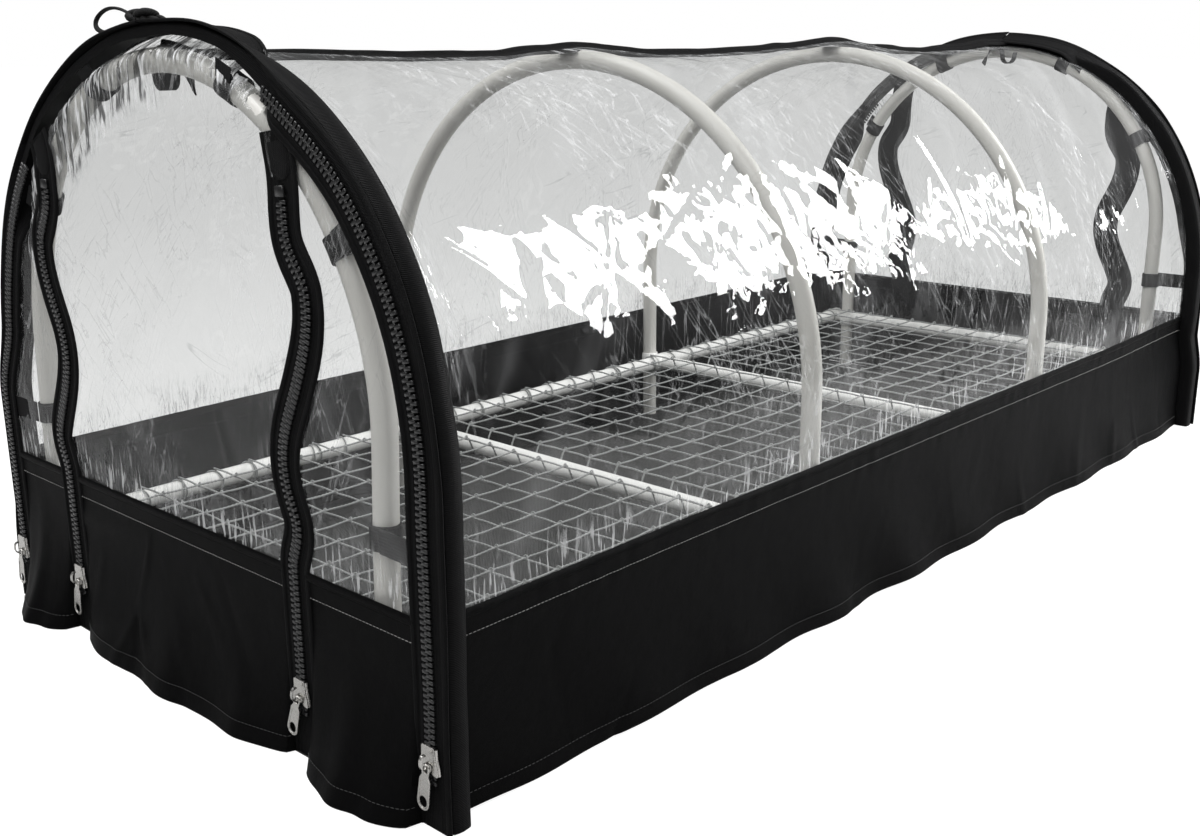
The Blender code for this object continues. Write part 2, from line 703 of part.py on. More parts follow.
def build_inner_zip(name, side, end):
    """A zip between the door and the side strip, slack and wavy above the skirt."""
    half = TAPE_WIDTH / 2.0
    heights = [FLOOR_GAP] + wave_heights(SKIRT_HEIGHT, DOOR_TOP)
    left = [(inner_zip_y(z, side) + half, z) for z in heights]
    right = [(inner_zip_y(z, side) - half, z) for z in reversed(heights)]
    centre = side * INNER_ZIP_Y
    top = []
    for k in range(5):
        y = centre + half - TAPE_WIDTH * k / 4.0
        top.append((y, arch_z(y, PANEL_RADIUS)))
    obj = to_mesh(end_plate(name, left + top + right, HALF_LENGTH, TAPE_THICKNESS, BLACK_TAPE,
                            end))
    half = CHAIN_WIDTH / 2.0
    stop = arch_z(INNER_ZIP_Y + half, PANEL_RADIUS) - ZIP_STOP_DROP
    heights = [CHAIN_START] + wave_heights(SKIRT_HEIGHT, DOOR_TOP) + [stop]
    left = [(inner_zip_y(z, side) + half, z) for z in heights]
    right = [(inner_zip_y(z, side) - half, z) for z in reversed(heights)]
    chain = to_mesh(end_plate(name + "_teeth", left + right, CHAIN_FRONT_X,
                              CHAIN_RAISE + TAPE_THICKNESS / 2.0, None, end))
    cut(obj, chain, "UNION")
    weld(obj)


def build_strip(name, side, end):
    """The fixed strip between the two zips: film above, skirt below."""
    half = TAPE_WIDTH / 2.0 + GAP
    inner = [(inner_zip_y(z, side) + side * half, z) for z in wave_heights(FILM_BOTTOM, DOOR_TOP)]
    edge = side * inner_zip_y(FLOOR_GAP, side) + half
    tip = arch_degrees(INNER_ZIP_Y + half, PANEL_RADIUS)
    arc = [(side * y, z) for y, z in arc_points(PANEL_RADIUS, tip, 0.0)]
    outline = inner + arc + [(side * PANEL_RADIUS, FILM_BOTTOM)]
    end_plate("strip_film_" + name, outline, HALF_LENGTH, SHEET, CLEAR_FILM, end)

    def skirt_place(i, j):
        share = i / STRIP_STEPS
        z, row_share, step = skirt_row(j)
        y = PANEL_RADIUS + (edge - PANEL_RADIUS) * share
        x = HALF_LENGTH + fold(share, row_share, STRIP_FOLDS, STRIP_FOLD_SHIFT) + step
        return Vector((-x, side * y, z))

    cloth("strip_skirt_" + name, STRIP_STEPS, SKIRT_ROWS, skirt_place, (-1.0, 0.0, 0.0),
          BLACK_FABRIC, end)


def build_door(name, end):
    """The end door between the inner zips, hinged on its fold line, and the gable above."""
    hinge = add_empty("door_axis_" + name, (-HALF_LENGTH, 0.0, DOOR_TOP), 0.0, end)
    half = TAPE_WIDTH / 2.0 + GAP
    heights = wave_heights(FILM_BOTTOM, DOOR_TOP)
    left = [(inner_zip_y(z, 1.0) - half, z - DOOR_TOP) for z in heights]
    right = [(inner_zip_y(z, -1.0) + half, z - DOOR_TOP) for z in reversed(heights)]
    end_plate("door_film_" + name, left + right, 0.0, SHEET, CLEAR_FILM, hinge)
    skirt_left = inner_zip_y(FLOOR_GAP, 1.0) - half
    skirt_right = inner_zip_y(FLOOR_GAP, -1.0) + half

    def skirt_place(i, j):
        share = i / DOOR_STEPS
        z, row_share, step = skirt_row(j)
        x = fold(share, row_share, DOOR_FOLDS, DOOR_FOLD_SHIFT) + step
        return Vector((-x, skirt_left + (skirt_right - skirt_left) * share, z - DOOR_TOP))

    cloth("door_skirt_" + name, DOOR_STEPS, SKIRT_ROWS, skirt_place, (-1.0, 0.0, 0.0),
          BLACK_FABRIC, hinge)
    edge = INNER_ZIP_Y - half
    tip = arch_degrees(edge, PANEL_RADIUS)
    gable = [(-edge, DOOR_TOP + GAP), (edge, DOOR_TOP + GAP)]
    gable += arc_points(PANEL_RADIUS, tip, 180.0 - tip)
    end_plate("gable_film_" + name, gable, HALF_LENGTH, SHEET, CLEAR_FILM, end)


def build_slider(name, y, end):
    """A nickel slider that rides on the teeth, and the pull that hangs from its crown."""
    seat = add_empty("slider_seat_" + name, (0.0, y, SLIDER_Z), 0.0, end)
    half_long = SLIDER_LENGTH / 2.0
    top = SLIDER_TOP_WIDTH / 2.0
    wide = SLIDER_WIDTH / 2.0
    shoulder = -half_long / 2.0
    outline = [(top, half_long), (-top, half_long), (-top, 0.0), (-wide, shoulder),
               (-wide, -half_long), (-top, -half_long), (0.0, SLIDER_NOTCH - half_long),
               (top, -half_long), (wide, -half_long), (wide, shoulder), (top, 0.0)]
    body = to_mesh(end_plate("slider_" + name, outline, SLIDER_FRONT_X, SLIDER_PLATE, NICKEL, seat))
    channel = CHAIN_WIDTH / 2.0 + GAP
    for side in (1.0, -1.0):
        low_y = min(side * channel, side * (channel + FLANGE_WALL))
        high_y = max(side * channel, side * (channel + FLANGE_WALL))
        flange = box_mesh(name + "_flange", (-SLIDER_FRONT_X + SLIDER_PLATE / 2.0, low_y, -half_long),
                          (-HALF_LENGTH - GAP, high_y, half_long))
        cut(body, tool_object(name + "_flange", flange, parent=seat), "UNION")
    crown = []
    reach = math.asin((CROWN_STAND + SLIDER_PLATE / 2.0) / CROWN_RADIUS)
    steps = 8
    for k in range(steps + 1):
        angle = -math.pi / 2.0 - reach + (math.pi + 2.0 * reach) * k / steps
        crown.append((-PULL_AXIS_X - CROWN_RADIUS * math.cos(angle), 0.0,
                      CROWN_RADIUS * math.sin(angle)))
    bar = to_mesh(tube(name + "_crown", crown, CROWN_BAR, None, seat, resolution=2))
    cut(body, bar, "UNION")
    build_pull("pull_" + name, seat)


def rounded(half_width, bottom, top):
    """Outline of a slot with round ends, along Z."""
    points = []
    steps = SLOT_STEPS
    for k in range(steps + 1):
        angle = math.pi * k / steps
        points.append((half_width * math.cos(angle), top - half_width + half_width * math.sin(angle)))
    for k in range(steps + 1):
        angle = math.pi + math.pi * k / steps
        points.append((half_width * math.cos(angle),
                       bottom + half_width + half_width * math.sin(angle)))
    return points


def build_pull(name, seat):
    """A flat pull with an eye round the crown and a finger hole at its round lower end."""
    hinge = add_empty("axis_" + name, (-PULL_AXIS_X, 0.0, 0.0), 0.0, seat)
    eye_half = PULL_EYE_WIDTH / 2.0
    eye_top = -CROWN_RADIUS + CROWN_BAR + GAP
    eye_bottom = eye_top - PULL_EYE_LENGTH
    top = eye_top + PULL_RIM
    bottom = top - PULL_LENGTH
    neck = PULL_NECK_WIDTH / 2.0
    wide = PULL_WIDTH / 2.0
    shoulder = eye_bottom - PULL_RIM
    crest = neck - PULL_TOP_CHAMFER
    outline = [(crest, top), (-crest, top), (-neck, top - PULL_TOP_CHAMFER),
               (-wide, shoulder - wide / 2.0)]
    steps = 8
    for k in range(steps + 1):
        angle = math.pi + math.pi * k / steps
        outline.append((wide * math.cos(angle), bottom + wide + wide * math.sin(angle)))
    outline += [(wide, shoulder - wide / 2.0), (neck, top - PULL_TOP_CHAMFER)]
    eye = rounded(eye_half, eye_bottom, eye_top)
    hole_bottom = bottom + PULL_RIM
    hole = rounded(wide - 1.5 * PULL_RIM, hole_bottom, hole_bottom + PULL_HOLE_LENGTH)
    end_plate(name, outline, PULL_THICKNESS / 2.0, PULL_THICKNESS, NICKEL, hinge, (eye, hole))


def build_tie_loop(name, end):
    """The loop of tie cord that lies on the arch binding, one facet left of the front apex."""
    reach = ARCH_RADIUS + GAP + TIE_RADIUS + TIE_LOOP_HEIGHT / 2.0
    turn = math.radians(90.0 - ARC_FACET)
    x = (BINDING_OUTER_X + BINDING_INNER_X) / 2.0
    points = []
    steps = 16
    for k in range(steps):
        angle = 2.0 * math.pi * k / steps
        along = TIE_LOOP_WIDTH / 2.0 * math.cos(angle)
        out = reach + TIE_LOOP_HEIGHT / 2.0 * math.sin(angle)
        points.append((-x, out * math.cos(turn) - along * math.sin(turn),
                       SPRING_Z + out * math.sin(turn) + along * math.cos(turn)))
    tube(name, points, TIE_RADIUS, BLACK_FABRIC, end, cyclic=True, resolution=2)


def band_outline(points, thickness):
    """Outline of a thin band whose middle line runs through points (y, z)."""
    left = []
    right = []
    for k, (y, z) in enumerate(points):
        y0, z0 = points[max(0, k - 1)]
        y1, z1 = points[min(len(points) - 1, k + 1)]
        share = thickness / 2.0 / math.hypot(y1 - y0, z1 - z0)
        left.append((y - (z1 - z0) * share, z + (y1 - y0) * share))
        right.append((y + (z1 - z0) * share, z - (y1 - y0) * share))
    return left + right[::-1]


def build_tie_strap(name, end):
    """The roll-up strap sewn under the ridge beside the end hoop, with its two ends hanging."""
    top = SPRING_Z + INNER_RADIUS - GAP - TIE_STRAP_THICKNESS / 2.0
    spread = TIE_STRAP_SPREAD
    bend = TIE_STRAP_BEND
    hook = TIE_STRAP_HOOK
    low = top - TIE_STRAP_DROP
    points = [(-spread - bend, low), (-spread, top - bend), (bend - spread, top),
              (spread - bend, top), (spread, top - bend)]
    for k in range(6):
        angle = math.pi * (1.0 + k / 6.0)
        points.append((spread + hook + hook * math.cos(angle), low + hook + hook * math.sin(angle)))
    outer_x = END_HOOP_X - TUBE_RADIUS - 4.0 * GAP
    end_plate(name, band_outline(points, TIE_STRAP_THICKNESS), outer_x, TIE_STRAP_WIDTH,
              BLACK_FABRIC, end)


def build_end(end_name, turn):
    """Everything on one end of the cover. Left and right are the bed's own sides."""
    end = add_empty("end_" + end_name, turn=turn)
    build_arch_binding(end_name, end)
    build_door(end_name, end)
    build_tie_strap("tie_strap_" + end_name, end)
    for side in (1.0, -1.0):
        world_side = side * math.cos(turn)
        name = end_name + ("_left" if world_side > 0.0 else "_right")
        build_outer_zip("zip_outer_" + name, side, end)
        build_inner_zip("zip_inner_" + name, side, end)
        build_strip(name, side, end)
        build_slider("outer_" + name, side * OUTER_ZIP_Y, end)
        build_slider("inner_" + name, inner_zip_y(SLIDER_Z, side), end)
    return end


def build_all():
    """Build the whole propagator."""
    build_hoop("hoop_front_end", -END_HOOP_X, END_HOOP_HALF_WIDTH, END_HOOP_TOP)
    build_hoop("hoop_front_mid", -MID_HOOP_X, MID_HOOP_HALF_WIDTH, SPRING_Z + MID_HOOP_HALF_WIDTH)
    build_hoop("hoop_rear_mid", MID_HOOP_X, MID_HOOP_HALF_WIDTH, SPRING_Z + MID_HOOP_HALF_WIDTH)
    build_hoop("hoop_rear_end", END_HOOP_X, END_HOOP_HALF_WIDTH, END_HOOP_TOP)
    build_rail("rail_left", 1.0)
    build_rail("rail_right", -1.0)
    build_crossbar("crossbar_front_end", -END_HOOP_X, END_HOOP_HALF_WIDTH, False)
    build_crossbar("crossbar_front_mid", -MID_HOOP_X, MID_HOOP_HALF_WIDTH, True)
    build_crossbar("crossbar_rear_mid", MID_HOOP_X, MID_HOOP_HALF_WIDTH, True)
    build_crossbar("crossbar_rear_end", END_HOOP_X, END_HOOP_HALF_WIDTH, False)
    build_net()
    build_ground_sheet()
    build_side("left", 1.0)
    build_side("right", -1.0)
    build_ridge()
    front = build_end("front", 0.0)
    build_end("rear", math.pi)
    build_tie_loop("tie_loop_front", front)


build_all()
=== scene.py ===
"""Looks of a seed propagator: a white tube frame with four hoops and a mesh bed, under a
clear zipped tunnel cover with a black fabric skirt.

Units are metres and +Z is up. The front end faces -X and the right side faces -Y.
The rear end is the front end turned half a turn about Z.
"""
import math

import bpy
import numpy as np
from mathutils import Matrix, Vector


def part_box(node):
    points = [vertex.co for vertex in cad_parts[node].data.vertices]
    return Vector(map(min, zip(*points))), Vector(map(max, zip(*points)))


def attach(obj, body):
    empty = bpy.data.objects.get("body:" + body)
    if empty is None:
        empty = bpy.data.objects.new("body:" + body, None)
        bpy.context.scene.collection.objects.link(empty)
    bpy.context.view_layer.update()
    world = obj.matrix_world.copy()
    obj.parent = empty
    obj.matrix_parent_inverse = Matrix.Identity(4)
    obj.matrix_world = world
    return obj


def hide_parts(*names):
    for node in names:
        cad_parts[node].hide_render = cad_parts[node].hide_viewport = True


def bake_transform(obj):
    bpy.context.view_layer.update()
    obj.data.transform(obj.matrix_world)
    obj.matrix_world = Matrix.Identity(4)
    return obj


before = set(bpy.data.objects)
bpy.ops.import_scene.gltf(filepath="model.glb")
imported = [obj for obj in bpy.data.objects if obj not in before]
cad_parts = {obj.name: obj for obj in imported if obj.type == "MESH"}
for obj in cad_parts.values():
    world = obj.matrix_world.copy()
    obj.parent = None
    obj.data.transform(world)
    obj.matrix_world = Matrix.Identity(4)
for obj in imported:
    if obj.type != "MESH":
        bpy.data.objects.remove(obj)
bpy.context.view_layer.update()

# Places read from the frame
BINDING_LOW, BINDING_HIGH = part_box("arch_binding_front")
ARCH_RADIUS = BINDING_HIGH.y
SPRING_Z = BINDING_HIGH.z - ARCH_RADIUS
BINDING_OUTER_X = -BINDING_LOW.x
BINDING_INNER_X = -BINDING_HIGH.x
FILM_LOW, FILM_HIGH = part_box("side_film_left")
HALF_WIDTH = FILM_HIGH.y
SIDE_HALF_LENGTH = FILM_HIGH.x
SKIRT_TOP = FILM_LOW.z
RIDGE_Z = SPRING_Z + HALF_WIDTH
HALF_LENGTH = -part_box("strip_film_front_left")[0].x
DOOR_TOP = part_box("gable_film_front")[0].z
FLOOR_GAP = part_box("side_skirt_left")[0].z
RAIL_LOW, RAIL_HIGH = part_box("rail_left")
RAIL_Y = (RAIL_LOW.y + RAIL_HIGH.y) / 2.0
FRAME_Z = (RAIL_LOW.z + RAIL_HIGH.z) / 2.0
NET_LOW, NET_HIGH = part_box("mesh_net")
GROUND_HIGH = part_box("ground_sheet")[1]
RIDGE_HALF_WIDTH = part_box("ridge_binding")[1].y

# Frame tubes
TUBE_RADIUS = 0.010
TUBE_SIDES = 28
FITTING_RADIUS = 0.0125
FITTING_HEIGHT = 0.025
SLEEVE_LENGTH = 0.030
CLIP_OPENING = 62.0       # degrees from the open side to each lip of a snap clip

# Zips, the same as in the solids
TAPE_WIDTH = 0.037
TAPE_THICKNESS = 0.0011
TAPE_BACK_X = HALF_LENGTH - 0.0010
INNER_ZIP_Y = 0.185
ZIP_WAVE = 0.016
ZIP_WAVE_LENGTH = 0.22
ZIP_SPREAD = 0.006        # the slack parts lie this much further out
ZIP_WAVE_CREST = 0.060
WAVE_RUN = 0.050
DOOR_LEAN = 0.018
LEAN_TOP = 0.120
LEAN_RUN = 0.100
CHAIN_START = 0.040
OUTER_CHAIN_END = 63.0    # degrees above the spring line, on the right
LEFT_CHAIN_END = 44.0
TOOTH_PITCH = 0.0048      # between two teeth of one row
OUTER_ZIP_Y = ARCH_RADIUS - TAPE_WIDTH / 2.0
SLIDER_Z = 0.060
FILM_LAP = 0.006          # how far an end film lies under a tape
SKIRT_LAP = 0.004         # and an end skirt
PANEL_RADIUS = ARCH_RADIUS - TAPE_WIDTH + FILM_LAP
ZIP_TOP_INSET = 0.014     # from the arch's edge to an inner tape's top end
ZIP_TOP_RISE = 0.066      # the inner zips' tapes end this far above the door's fold line
ZIP_TOP_BEND = 0.024
ZIP_TOP_DEPTH = 0.0022    # their top ends lie this far behind the outer tape
CHAIN_TOP = 0.050         # bare tape above an inner zip's teeth

# Slack of the cover's ends. The front arch: degrees from the left, and distance outwards
ARCH_LINE = ((-30, -0.029), (0, -0.027), (12, -0.024), (24, -0.020), (36, -0.015), (48, -0.012),
             (60, -0.009), (72, -0.005), (84, 0.0), (90, 0.003), (96, 0.006), (102, 0.010), (108, 0.013),
             (120, 0.015), (132, 0.019), (141, 0.020), (150, 0.018), (158, 0.014), (168, 0.007),
             (180, 0.003), (210, 0.002))
ARCH_TUCK = 0.010         # the rear arch is drawn in this far on its right
TUCK_TURN = {"front": 80.0, "rear": 68.0}
END_REACH = 0.30          # length of side film that follows the end's slack
EDGE_LIFT = 0.009         # rise of the side film to the front arch where the tape is turned back
EDGE_REACH = 0.036        # length of side film that rises
RUN_TOP = 0.222           # the outer sliders run up to here
RUN_FADE = 0.085          # height over which the full slack sets in above the run
RUN_EDGE_SLACK = 0.0085   # the bound edge moves no further than this along the run
RUN_ZIP_SLACK = 0.0010    # and the zip no further than this
SLACK_START = 0.055       # the front arch's slack sets in at this height
SLACK_RISE = 0.13
HOOP_LEAN = 0.010         # the front hoop's top leans to the right by this much
HOOP_RISE = 0.6           # and stands up by this share of it

# Film and fabric
FILM_SAG = 0.004
FABRIC = 0.0009
HEM_BAND = 0.022
SIDE_FOLDS = 10
SIDE_FOLD_SHIFT = 0.4

# Camera of the photograph, 1200 by 836 pixels
CAMERA_PLACE = (-1.30943, -1.01843, 0.56519)
CAMERA_LENS = 40.3873
CAMERA_YAW = -47.231
CAMERA_PITCH = 90.0 - 15.602
CAMERA_ROLL = -0.371


# Numbers


def smoothstep(share):
    """Ease from 0 to 1."""
    share = np.clip(share, 0.0, 1.0)
    return share * share * (3.0 - 2.0 * share)


def lattice(seed, count=64):
    """A repeating lattice of seeded values from -1 to 1."""
    return np.random.default_rng(seed).uniform(-1.0, 1.0, (count, count))


def ripple(u, v, seed, size_u, size_v=None):
    """Smooth seeded relief from -1 to 1 over (u, v)."""
    table = lattice(seed)
    count = len(table)
    a = np.asarray(u) / size_u + 17.0
    b = np.asarray(v) / (size_v or size_u) + 23.0
    i = np.floor(a).astype(int)
    j = np.floor(b).astype(int)
    s = smoothstep(a - i)
    t = smoothstep(b - j)
    low = table[i % count, j % count] * (1 - s) + table[(i + 1) % count, j % count] * s
    high = table[i % count, (j + 1) % count] * (1 - s) + table[(i + 1) % count, (j + 1) % count] * s
    return low * (1 - t) + high * t


def facets(u, v, seed, size):
    """Seeded relief of flat triangles with sharp edges, from -1 to 1, over (u, v)."""
    table = lattice(seed)
    count = len(table)
    a = (u + 0.35 * size * ripple(u, v, seed + 1, size * 1.7)) / size + 11.0
    b = (v + 0.35 * size * ripple(u, v, seed + 2, size * 1.7)) / size + 13.0
    i = np.floor(a).astype(int)
    j = np.floor(b).astype(int)
    s = a - i
    t = b - j
    h00 = table[i % count, j % count]
    h10 = table[(i + 1) % count, j % count]
    h01 = table[i % count, (j + 1) % count]
    h11 = table[(i + 1) % count, (j + 1) % count]
    lower = h00 + s * (h10 - h00) + t * (h01 - h00)
    upper = h11 + (1 - s) * (h01 - h11) + (1 - t) * (h10 - h11)
    return np.where(s + t < 1.0, lower, upper)


def creases(u, v, seed, count, span_u, span_v, angles, length, width, height):
    """Seeded straight folds with flat flanks: angles, lengths, widths and heights are ranges."""
    rng = np.random.default_rng(seed)
    relief = np.zeros(np.shape(u))
    for _ in range(count):
        cu = rng.uniform(*span_u)
        cv = rng.uniform(*span_v)
        angle = math.radians(rng.uniform(*angles))
        half = rng.uniform(*length) / 2.0
        wide = rng.uniform(*width)
        high = rng.uniform(*height)
        along = (u - cu) * math.cos(angle) + (v - cv) * math.sin(angle)
        across = (v - cv) * math.cos(angle) - (u - cu) * math.sin(angle)
        taper = np.clip(1.0 - (along / half) ** 2, 0.0, 1.0)
        relief += high * taper * np.clip(1.0 - np.abs(across) / (wide * (0.35 + 0.65 * taper)), 0, 1)
    return relief


def wander(t, seed, size):
    """Smooth seeded line from -1 to 1."""
    return ripple(np.asarray(t, float), np.zeros(np.shape(t)), seed, size)


def eased(at, stations, values):
    """Values given at stations, joined by smooth steps."""
    k = np.clip(np.searchsorted(stations, at) - 1, 0, len(stations) - 2)
    share = smoothstep((at - stations[k]) / (stations[k + 1] - stations[k]))
    return values[k] * (1.0 - share) + values[k + 1] * share


def unit(vectors):
    """Vectors of length 1."""
    return vectors / np.maximum(np.linalg.norm(vectors, axis=-1, keepdims=True), 1e-12)


def tangents(path, ring=False):
    """Directions along a path."""
    if ring:
        return unit(np.roll(path, -1, 0) - np.roll(path, 1, 0))
    return unit(np.gradient(path, axis=0))


def distances(path):
    """Distance along a path at each point."""
    steps = np.linalg.norm(np.diff(path, axis=0), axis=1)
    return np.concatenate(([0.0], np.cumsum(steps)))


def resample(path, step):
    """A path with points at equal distances of about step."""
    run = distances(path)
    count = max(2, round(run[-1] / step) + 1)
    at = np.linspace(0.0, run[-1], count)
    return np.stack([np.interp(at, run, path[:, k]) for k in range(path.shape[1])], 1)


# Meshes


def grid_faces(rows, columns, wrap_rows=False, wrap_columns=False):
    """Quads over a grid of points."""
    i = np.arange(rows if wrap_rows else rows - 1)[:, None]
    j = np.arange(columns if wrap_columns else columns - 1)[None, :]
    i2 = (i + 1) % rows
    j2 = (j + 1) % columns
    quads = np.stack(np.broadcast_arrays(i * columns + j, i2 * columns + j, i2 * columns + j2,
                                         i * columns + j2), -1)
    return quads.reshape(-1, 4)


def volume(points, groups):
    """Signed volume inside closed faces."""
    total = 0.0
    for faces in groups:
        for k in range(1, faces.shape[1] - 1):
            a, b, c = points[faces[:, 0]], points[faces[:, k]], points[faces[:, k + 1]]
            total += np.einsum("ij,ij->i", a, np.cross(b, c)).sum()
    return total


class Shape:
    """Points and faces gathered for one mesh, with a cloth coordinate at each point."""

    def __init__(self):
        self.points = []
        self.marks = []
        self.faces = []
        self.count = 0

    def add(self, points, groups, marks=None, closed=True):
        """Add one body. A closed body's faces are turned outwards."""
        points = np.asarray(points, float).reshape(-1, 3)
        marks = points if marks is None else np.asarray(marks, float).reshape(-1, 3)
        groups = [np.asarray(faces) for faces in groups]
        if closed and volume(points - points.mean(0), groups) < 0.0:
            groups = [faces[:, ::-1] for faces in groups]
        self.points.append(points)
        self.marks.append(marks)
        self.faces += [faces + self.count for faces in groups]
        self.count += len(points)

    def copies(self, points, groups, places):
        """Add a copy of a small body at each of the places, given as 4 by 4 matrices."""
        count = len(points)
        homogeneous = np.concatenate([points, np.ones((count, 1))], 1)
        moved = np.einsum("nij,mj->nmi", places, homogeneous)[..., :3]
        shift = (np.arange(len(places)) * count)[:, None, None]
        turned = volume(moved[0] - moved[0].mean(0), groups) < 0.0
        faces = [(faces[None, :, ::-1] if turned else faces[None]) + shift for faces in groups]
        faces = [group.reshape(-1, group.shape[-1]) for group in faces]
        self.add(moved.reshape(-1, 3), faces, closed=False)

    def build(self, name, material, body, nodes=(), angle=50.0):
        """Make the mesh object, which rides on a body and stands for some nodes."""
        points = np.concatenate(self.points).astype(np.float32)
        marks = np.concatenate(self.marks).astype(np.float32)
        corners = np.concatenate([faces.ravel() for faces in self.faces]).astype(np.int32)
        sizes = np.concatenate([np.full(len(faces), faces.shape[1]) for faces in self.faces])
        starts = np.concatenate(([0], np.cumsum(sizes)[:-1])).astype(np.int32)
        mesh = bpy.data.meshes.new(name)
        mesh.vertices.add(len(points))
        mesh.vertices.foreach_set("co", points.ravel())
        mesh.loops.add(len(corners))
        mesh.loops.foreach_set("vertex_index", corners)
        mesh.polygons.add(len(starts))
        mesh.polygons.foreach_set("loop_start", starts)
        mesh.update(calc_edges=True)
        layer = mesh.attributes.new("cloth", "FLOAT_VECTOR", "POINT")
        layer.data.foreach_set("vector", marks.ravel())
        mesh.validate()
        mesh.shade_smooth()
        if angle:
            mesh.set_sharp_from_angle(angle=math.radians(angle))
        obj = bpy.data.objects.new(name, mesh)
        bpy.context.scene.collection.objects.link(obj)
        mesh.materials.append(material)
        if body:
            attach(obj, body)
        if nodes:
            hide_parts(*nodes)
        return obj


def sweep(shape, path, side, up, profile, ring=False):
    """Sweep a closed profile of (side, up) pairs along a path, with closed ends."""
    path = np.asarray(path, float)
    profile = np.asarray(profile, float)
    rows = len(path)
    columns = profile.shape[-2]
    side = np.broadcast_to(side, path.shape)
    up = np.broadcast_to(up, path.shape)
    points = path[:, None] + profile[..., 0:1] * side[:, None] + profile[..., 1:2] * up[:, None]
    groups = [grid_faces(rows, columns, ring, True)]
    if not ring:
        groups.append(np.arange(columns)[None, ::-1])
        groups.append((np.arange(columns) + (rows - 1) * columns)[None])
    marks = np.zeros(points.shape)
    marks[..., 0] = profile[..., 0]
    marks[..., 1] = distances(path)[:, None]
    marks[..., 2] = profile[..., 1]
    shape.add(points, groups, marks)


def round_profile(radius, sides, squash=1.0):
    """A round or oval profile."""
    turn = np.arange(sides) * 2.0 * math.pi / sides
    return np.stack([radius * np.cos(turn), radius * squash * np.sin(turn)], 1)


def tube(shape, path, radius, sides, hint=(1.0, 0.0, 0.0), ring=False, squash=1.0):
    """A round tube along a path that never runs along the hint."""
    path = np.asarray(path, float)
    along = tangents(path, ring)
    side = unit(np.cross(along, np.broadcast_to(hint, path.shape)))
    up = np.cross(side, along)
    sweep(shape, path, side, up, round_profile(radius, sides, squash), ring)


def cord(shape, path, radius, sides, ring=False, squash=1.0):
    """A round cord along any path, its section carried along without twist."""
    path = np.asarray(path, float)
    along = tangents(path, ring)
    side = np.zeros(path.shape)
    start = np.cross(along[0], (0.3, 0.5, 0.8))
    for k in range(len(path)):
        start = start - along[k] * np.dot(start, along[k])
        start = start / np.linalg.norm(start)
        side[k] = start
    sweep(shape, path, side, np.cross(along, side), round_profile(radius, sides, squash), ring)


def turned(shape, centre, axis, profile, sides=28):
    """A closed profile of (radius, height) pairs turned round an axis through the centre."""
    axis = np.array(axis, float)
    hint = np.array((0.0, 0.0, 1.0)) if abs(axis[2]) < 0.5 else np.array((1.0, 0.0, 0.0))
    first = unit(np.cross(axis, hint))
    second = np.cross(axis, first)
    turn = np.arange(sides) * 2.0 * math.pi / sides
    out = np.cos(turn)[:, None] * first + np.sin(turn)[:, None] * second
    path = np.repeat(np.array(centre, float)[None], sides, 0)
    profile = np.asarray(profile, float)
    points = path[:, None] + profile[None, :, 0:1] * out[:, None] + profile[None, :, 1:2] * axis
    shape.add(points, [grid_faces(sides, len(profile), True, True)])


def soft_box(half, bevel):
    """Points and faces of a box with cut edges and corners, round its own middle."""
    points = []
    keys = {}
    for sx in (-1, 1):
        for sy in (-1, 1):
            for sz in (-1, 1):
                for k in range(3):
                    corner = [sx * (half[0] - bevel), sy * (half[1] - bevel), sz * (half[2] - bevel)]
                    corner[k] += (sx, sy, sz)[k] * bevel
                    keys[(sx, sy, sz, k)] = len(points)
                    points.append(corner)
    quads = []
    tris = []
    for sx in (-1, 1):
        for sy in (-1, 1):
            for sz in (-1, 1):
                tri = [keys[(sx, sy, sz, k)] for k in range(3)]
                tris.append(tri if sx * sy * sz > 0 else tri[::-1])
    for k in range(3):
        a, b = [m for m in range(3) if m != k]
        for sign in (-1, 1):
            ring = []
            for sa, sb in ((-1, -1), (1, -1), (1, 1), (-1, 1)):
                key = [0, 0, 0]
                key[k], key[a], key[b] = sign, sa, sb
                ring.append(keys[tuple(key) + (k,)])
            turn = sign if k != 1 else -sign
            quads.append(ring if turn > 0 else ring[::-1])
        for sa in (-1, 1):
            for sb in (-1, 1):
                low = [0, 0, 0]
                high = [0, 0, 0]
                low[k], low[a], low[b] = -1, sa, sb
                high[k], high[a], high[b] = 1, sa, sb
                ring = [keys[tuple(low) + (a,)], keys[tuple(high) + (a,)],
                        keys[tuple(high) + (b,)], keys[tuple(low) + (b,)]]
                turn = sa * sb if k != 1 else -sa * sb
                quads.append(ring if turn < 0 else ring[::-1])
    return np.array(points, float), [np.array(quads), np.array(tris)]


def slab(shape, front, back, marks):
    """A closed cloth between a front and a back grid of points."""
    rows, columns = front.shape[:2]
    count = rows * columns
    faces = grid_faces(rows, columns)
    index = np.arange(count).reshape(rows, columns)
    rim = np.concatenate([index[:, 0], index[-1, 1:], index[-2::-1, -1], index[0, -2:0:-1]])
    after = np.roll(rim, -1)
    wall = np.stack([rim, after, after + count, rim + count], 1)
    shape.add(np.concatenate([front.reshape(-1, 3), back.reshape(-1, 3)]),
              [faces, faces[:, ::-1] + count, wall[:, ::-1]],
              np.concatenate([marks.reshape(-1, 3), marks.reshape(-1, 3)]))


def slab_along(shape, front, marks, inward):
    """A closed cloth of fabric thickness behind a front grid of points."""
    slab(shape, front, front + np.asarray(inward) * FABRIC, marks)


